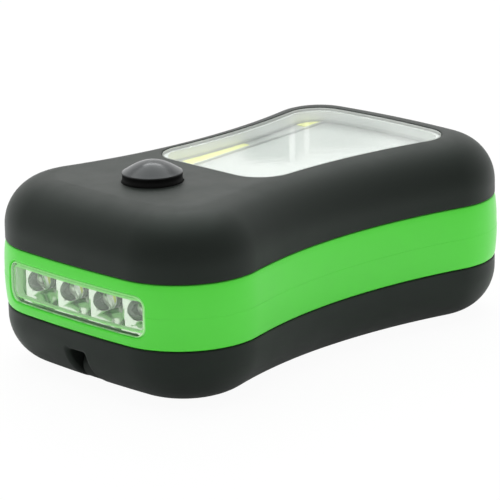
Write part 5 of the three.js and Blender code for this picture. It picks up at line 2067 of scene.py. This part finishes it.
@dataclass
class Studio:
    """White floor, soft lights and the camera at the photograph's angle."""

    eye: Point = (-0.451177, -0.462343, 0.209889)
    right: Point = (0.71241886, -0.70140162, -0.02225165)
    up: Point = (0.21303185, 0.18594825, 0.95918751)
    focal_pixels: float = 2853.73
    frame_pixels: float = 500.0
    sensor_mm: float = 36.0
    clip: Pair = (0.01, 20)
    behind: Point = (0.66, 0.68, 0.30)
    facing_range: Pair = (-0.5, 0.9)
    level_range: Pair = (0.38, 0.93)
    floor_half: float = 3.0
    floor_paper: float = 0.92
    floor_glow: float = 0.95
    mirrored_share: float = 0.2
    mirror_height: float = 0.0435
    wall_half: float = 0.5
    wall_reach: float = 1.65
    wall_glow: Colour = (1.0, 0.985, 0.985)
    wall_patches: tuple[tuple[float, ...], ...] = (
        (0.012, 0.0585, 0.016, 0.008, 0.8), (0.055, 0.066, 0.025, 0.0085, 0.4),
        (0.026, 0.066, 0.042, 0.013, 0.35),
    )
    wall_posts: Pair = (0.0245, 0.0328)
    post_half: float = 0.0022
    post_level: float = 0.8
    lamps: tuple[Lamp, ...] = (
        Lamp("overhead", (0.1, 0.15, 1.0), (1.1, 1.1), 6.5),
        Lamp("behind", (0.6, 0.65, 0.75), (0.6, 0.5), 5.0),
    )

    def facing(self, right: Array | Point, up: Array | Point, place: Array | Point) -> Matrix:
        """Matrix of something at a place, whose own X points right and whose own Y points up.

        Args:
            right: Its X direction.
            up: Its Y direction.
            place: Its place.

        Returns:
            The matrix.
        """
        matrix = Matrix(np.column_stack([right, up, np.cross(right, up)]).tolist()).to_4x4()
        matrix.translation = place
        return matrix

    def camera(self) -> None:
        """Sets the camera from its place and its right and up directions."""
        data = bpy.data.cameras.new("photo_camera")
        data.sensor_width = self.sensor_mm
        data.lens = self.focal_pixels / self.frame_pixels * self.sensor_mm
        data.clip_start, data.clip_end = self.clip
        made = shown("photo_camera", data)
        made.matrix_world = self.facing(self.right, self.up, self.eye)
        bpy.context.scene.camera = made

    def world(self) -> None:
        """Soft surroundings, white behind the object and dimmer on the camera's side; the camera itself
        and clear plastic see plain white. The level rises with the share of a direction that points back."""
        world = bpy.data.worlds.new("studio")
        world.use_nodes = True
        bpy.context.scene.world = world
        nodes = NodeTree(world.node_tree)
        place = nodes.node("TexCoord", {}).outputs["Object"]
        facing = nodes.node("VectorMath", {0: place, 1: self.behind}, operation="DOT_PRODUCT")
        soft = nodes.ramp(
            facing.outputs["Value"], self.facing_range, self.level_range, interpolation_type="SMOOTHSTEP"
        )
        path = nodes.node("LightPath", {}).outputs
        seen = nodes.sum_up("MAXIMUM", path["Is Camera Ray"], path["Is Transmission Ray"])
        level = nodes.node("Mix", {"Factor": seen, "A": soft, "B": 1.0}).outputs["Result"]
        ground = world.node_tree.nodes["Background"]
        nodes.feed(shade((1, 1, 1)), ground.inputs["Color"])
        nodes.feed(level, ground.inputs["Strength"])

    def card(self, name: str, half: float, paint: Callable[[NodeTree], Socket]) -> Object:
        """A square card that belongs to the studio and not to the object.

        Args:
            name: Name of the card.
            half: Half its side.
            paint: Makes its surface in an empty node tree.

        Returns:
            The card, level at the origin.
        """
        mesh = bpy.data.meshes.new(name)
        mesh.from_pydata([(half * u, half * v, 0) for u, v in CORNERS], [], [(0, 1, 2, 3)])
        material = bpy.data.materials.new(name)
        material.use_nodes = True
        material.node_tree.nodes.clear()
        nodes = NodeTree(material.node_tree)
        nodes.node("OutputMaterial", {"Surface": paint(nodes)})
        mesh.materials.append(material)
        made = shown(name, mesh)
        return made

    def back_wall(self) -> None:
        """A soft grey wall patch with two pale posts behind the object, seen only as a reflection in the
        light panel. It faces the camera's mirror image in the panel."""
        flip = np.array([1.0, 1.0, -1.0])
        eye = np.array(self.eye) * flip + (0, 0, 2 * self.mirror_height)
        away = np.cross(self.right, self.up) * flip
        made = self.card("back_wall", self.wall_half, self.wall_paint)
        made.matrix_world = self.facing(self.right * flip, self.up * flip, eye - away * self.wall_reach)
        made.visible_camera = made.visible_diffuse = made.visible_transmission = made.visible_shadow = False

    def wall_paint(self, nodes: NodeTree) -> Socket:
        """A glow over u to the right and v up in the picture: each grey patch takes a share of it off as a
        bell over u and v, and each post is a soft band along v.

        Args:
            nodes: The wall's node tree.

        Returns:
            The wall's surface.
        """
        place = nodes.node("SeparateXYZ", {0: nodes.node("TexCoord", {}).outputs["Object"]}).outputs

        def off(axis: str, middle: float, half: float) -> Socket:
            """How many halves a point lies off a middle."""
            return nodes.sum_up("DIVIDE", nodes.sum_up("SUBTRACT", place[axis], middle), half)

        level = 1.0
        for u, v, half_u, half_v, depth in self.wall_patches:
            grey = nodes.sum_up("MULTIPLY", nodes.bell(off("X", u, half_u), off("Y", v, half_v)), depth)
            level = nodes.sum_up("MULTIPLY", level, nodes.sum_up("SUBTRACT", 1.0, grey))
        for u in self.wall_posts:
            post = nodes.sum_up("MULTIPLY", nodes.bell(off("X", u, self.post_half)), self.post_level)
            level = nodes.sum_up("MAXIMUM", level, post)
        return nodes.node("Emission", {"Color": shade(self.wall_glow), "Strength": level}).outputs[0]

    def floor_paint(self, nodes: NodeTree) -> Socket:
        """White paper that glows where the camera or clear plastic sees it, and a little in reflections.

        Args:
            nodes: The floor's node tree.

        Returns:
            The floor's surface.
        """
        path = nodes.node("LightPath", {}).outputs
        mirrored = nodes.sum_up(
            "MULTIPLY_ADD", path["Is Glossy Ray"], self.mirrored_share, path["Is Transmission Ray"]
        )
        seen = nodes.sum_up("ADD", path["Is Camera Ray"], mirrored, clamp=True)
        glow = nodes.sum_up("MULTIPLY", seen, self.floor_glow)
        paper = nodes.node("BsdfDiffuse", {"Color": shade((1, 1, 1), self.floor_paper)}).outputs[0]
        lit = nodes.node("Emission", {}).outputs[0]
        return nodes.node("MixShader", {0: glow, 1: paper, 2: lit}).outputs[0]

    def build(self) -> None:
        """Makes the studio. Its floor stays white to the camera and still takes a soft shadow."""
        self.camera()
        self.world()
        self.card("floor", self.floor_half, self.floor_paint)
        self.back_wall()
        for lamp in self.lamps:
            lamp.make()


def main() -> None:
    """Builds every sub-assembly in order."""
    logging.basicConfig(level=logging.INFO, format="%(name)s: %(message)s")
    bpy.context.scene.view_settings.view_transform = "Standard"
    Studio().build()
    finishes = Finishes()
    form, panel, torch, hook = CasingForm(), PanelForm(), TorchForm(), HookForm()
    casing = Casing(finishes, form, panel, torch, hook, BayForm())
    for assembly in (
        casing, LightPanel(finishes, form, panel), PushButton(finishes, form),
        Torch(finishes, casing, torch), CellBay(finishes), FoldingHook(finishes, hook), Fasteners(finishes),
    ):
        assembly.build()
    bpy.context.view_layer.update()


if __name__ == "__main__":
    main()
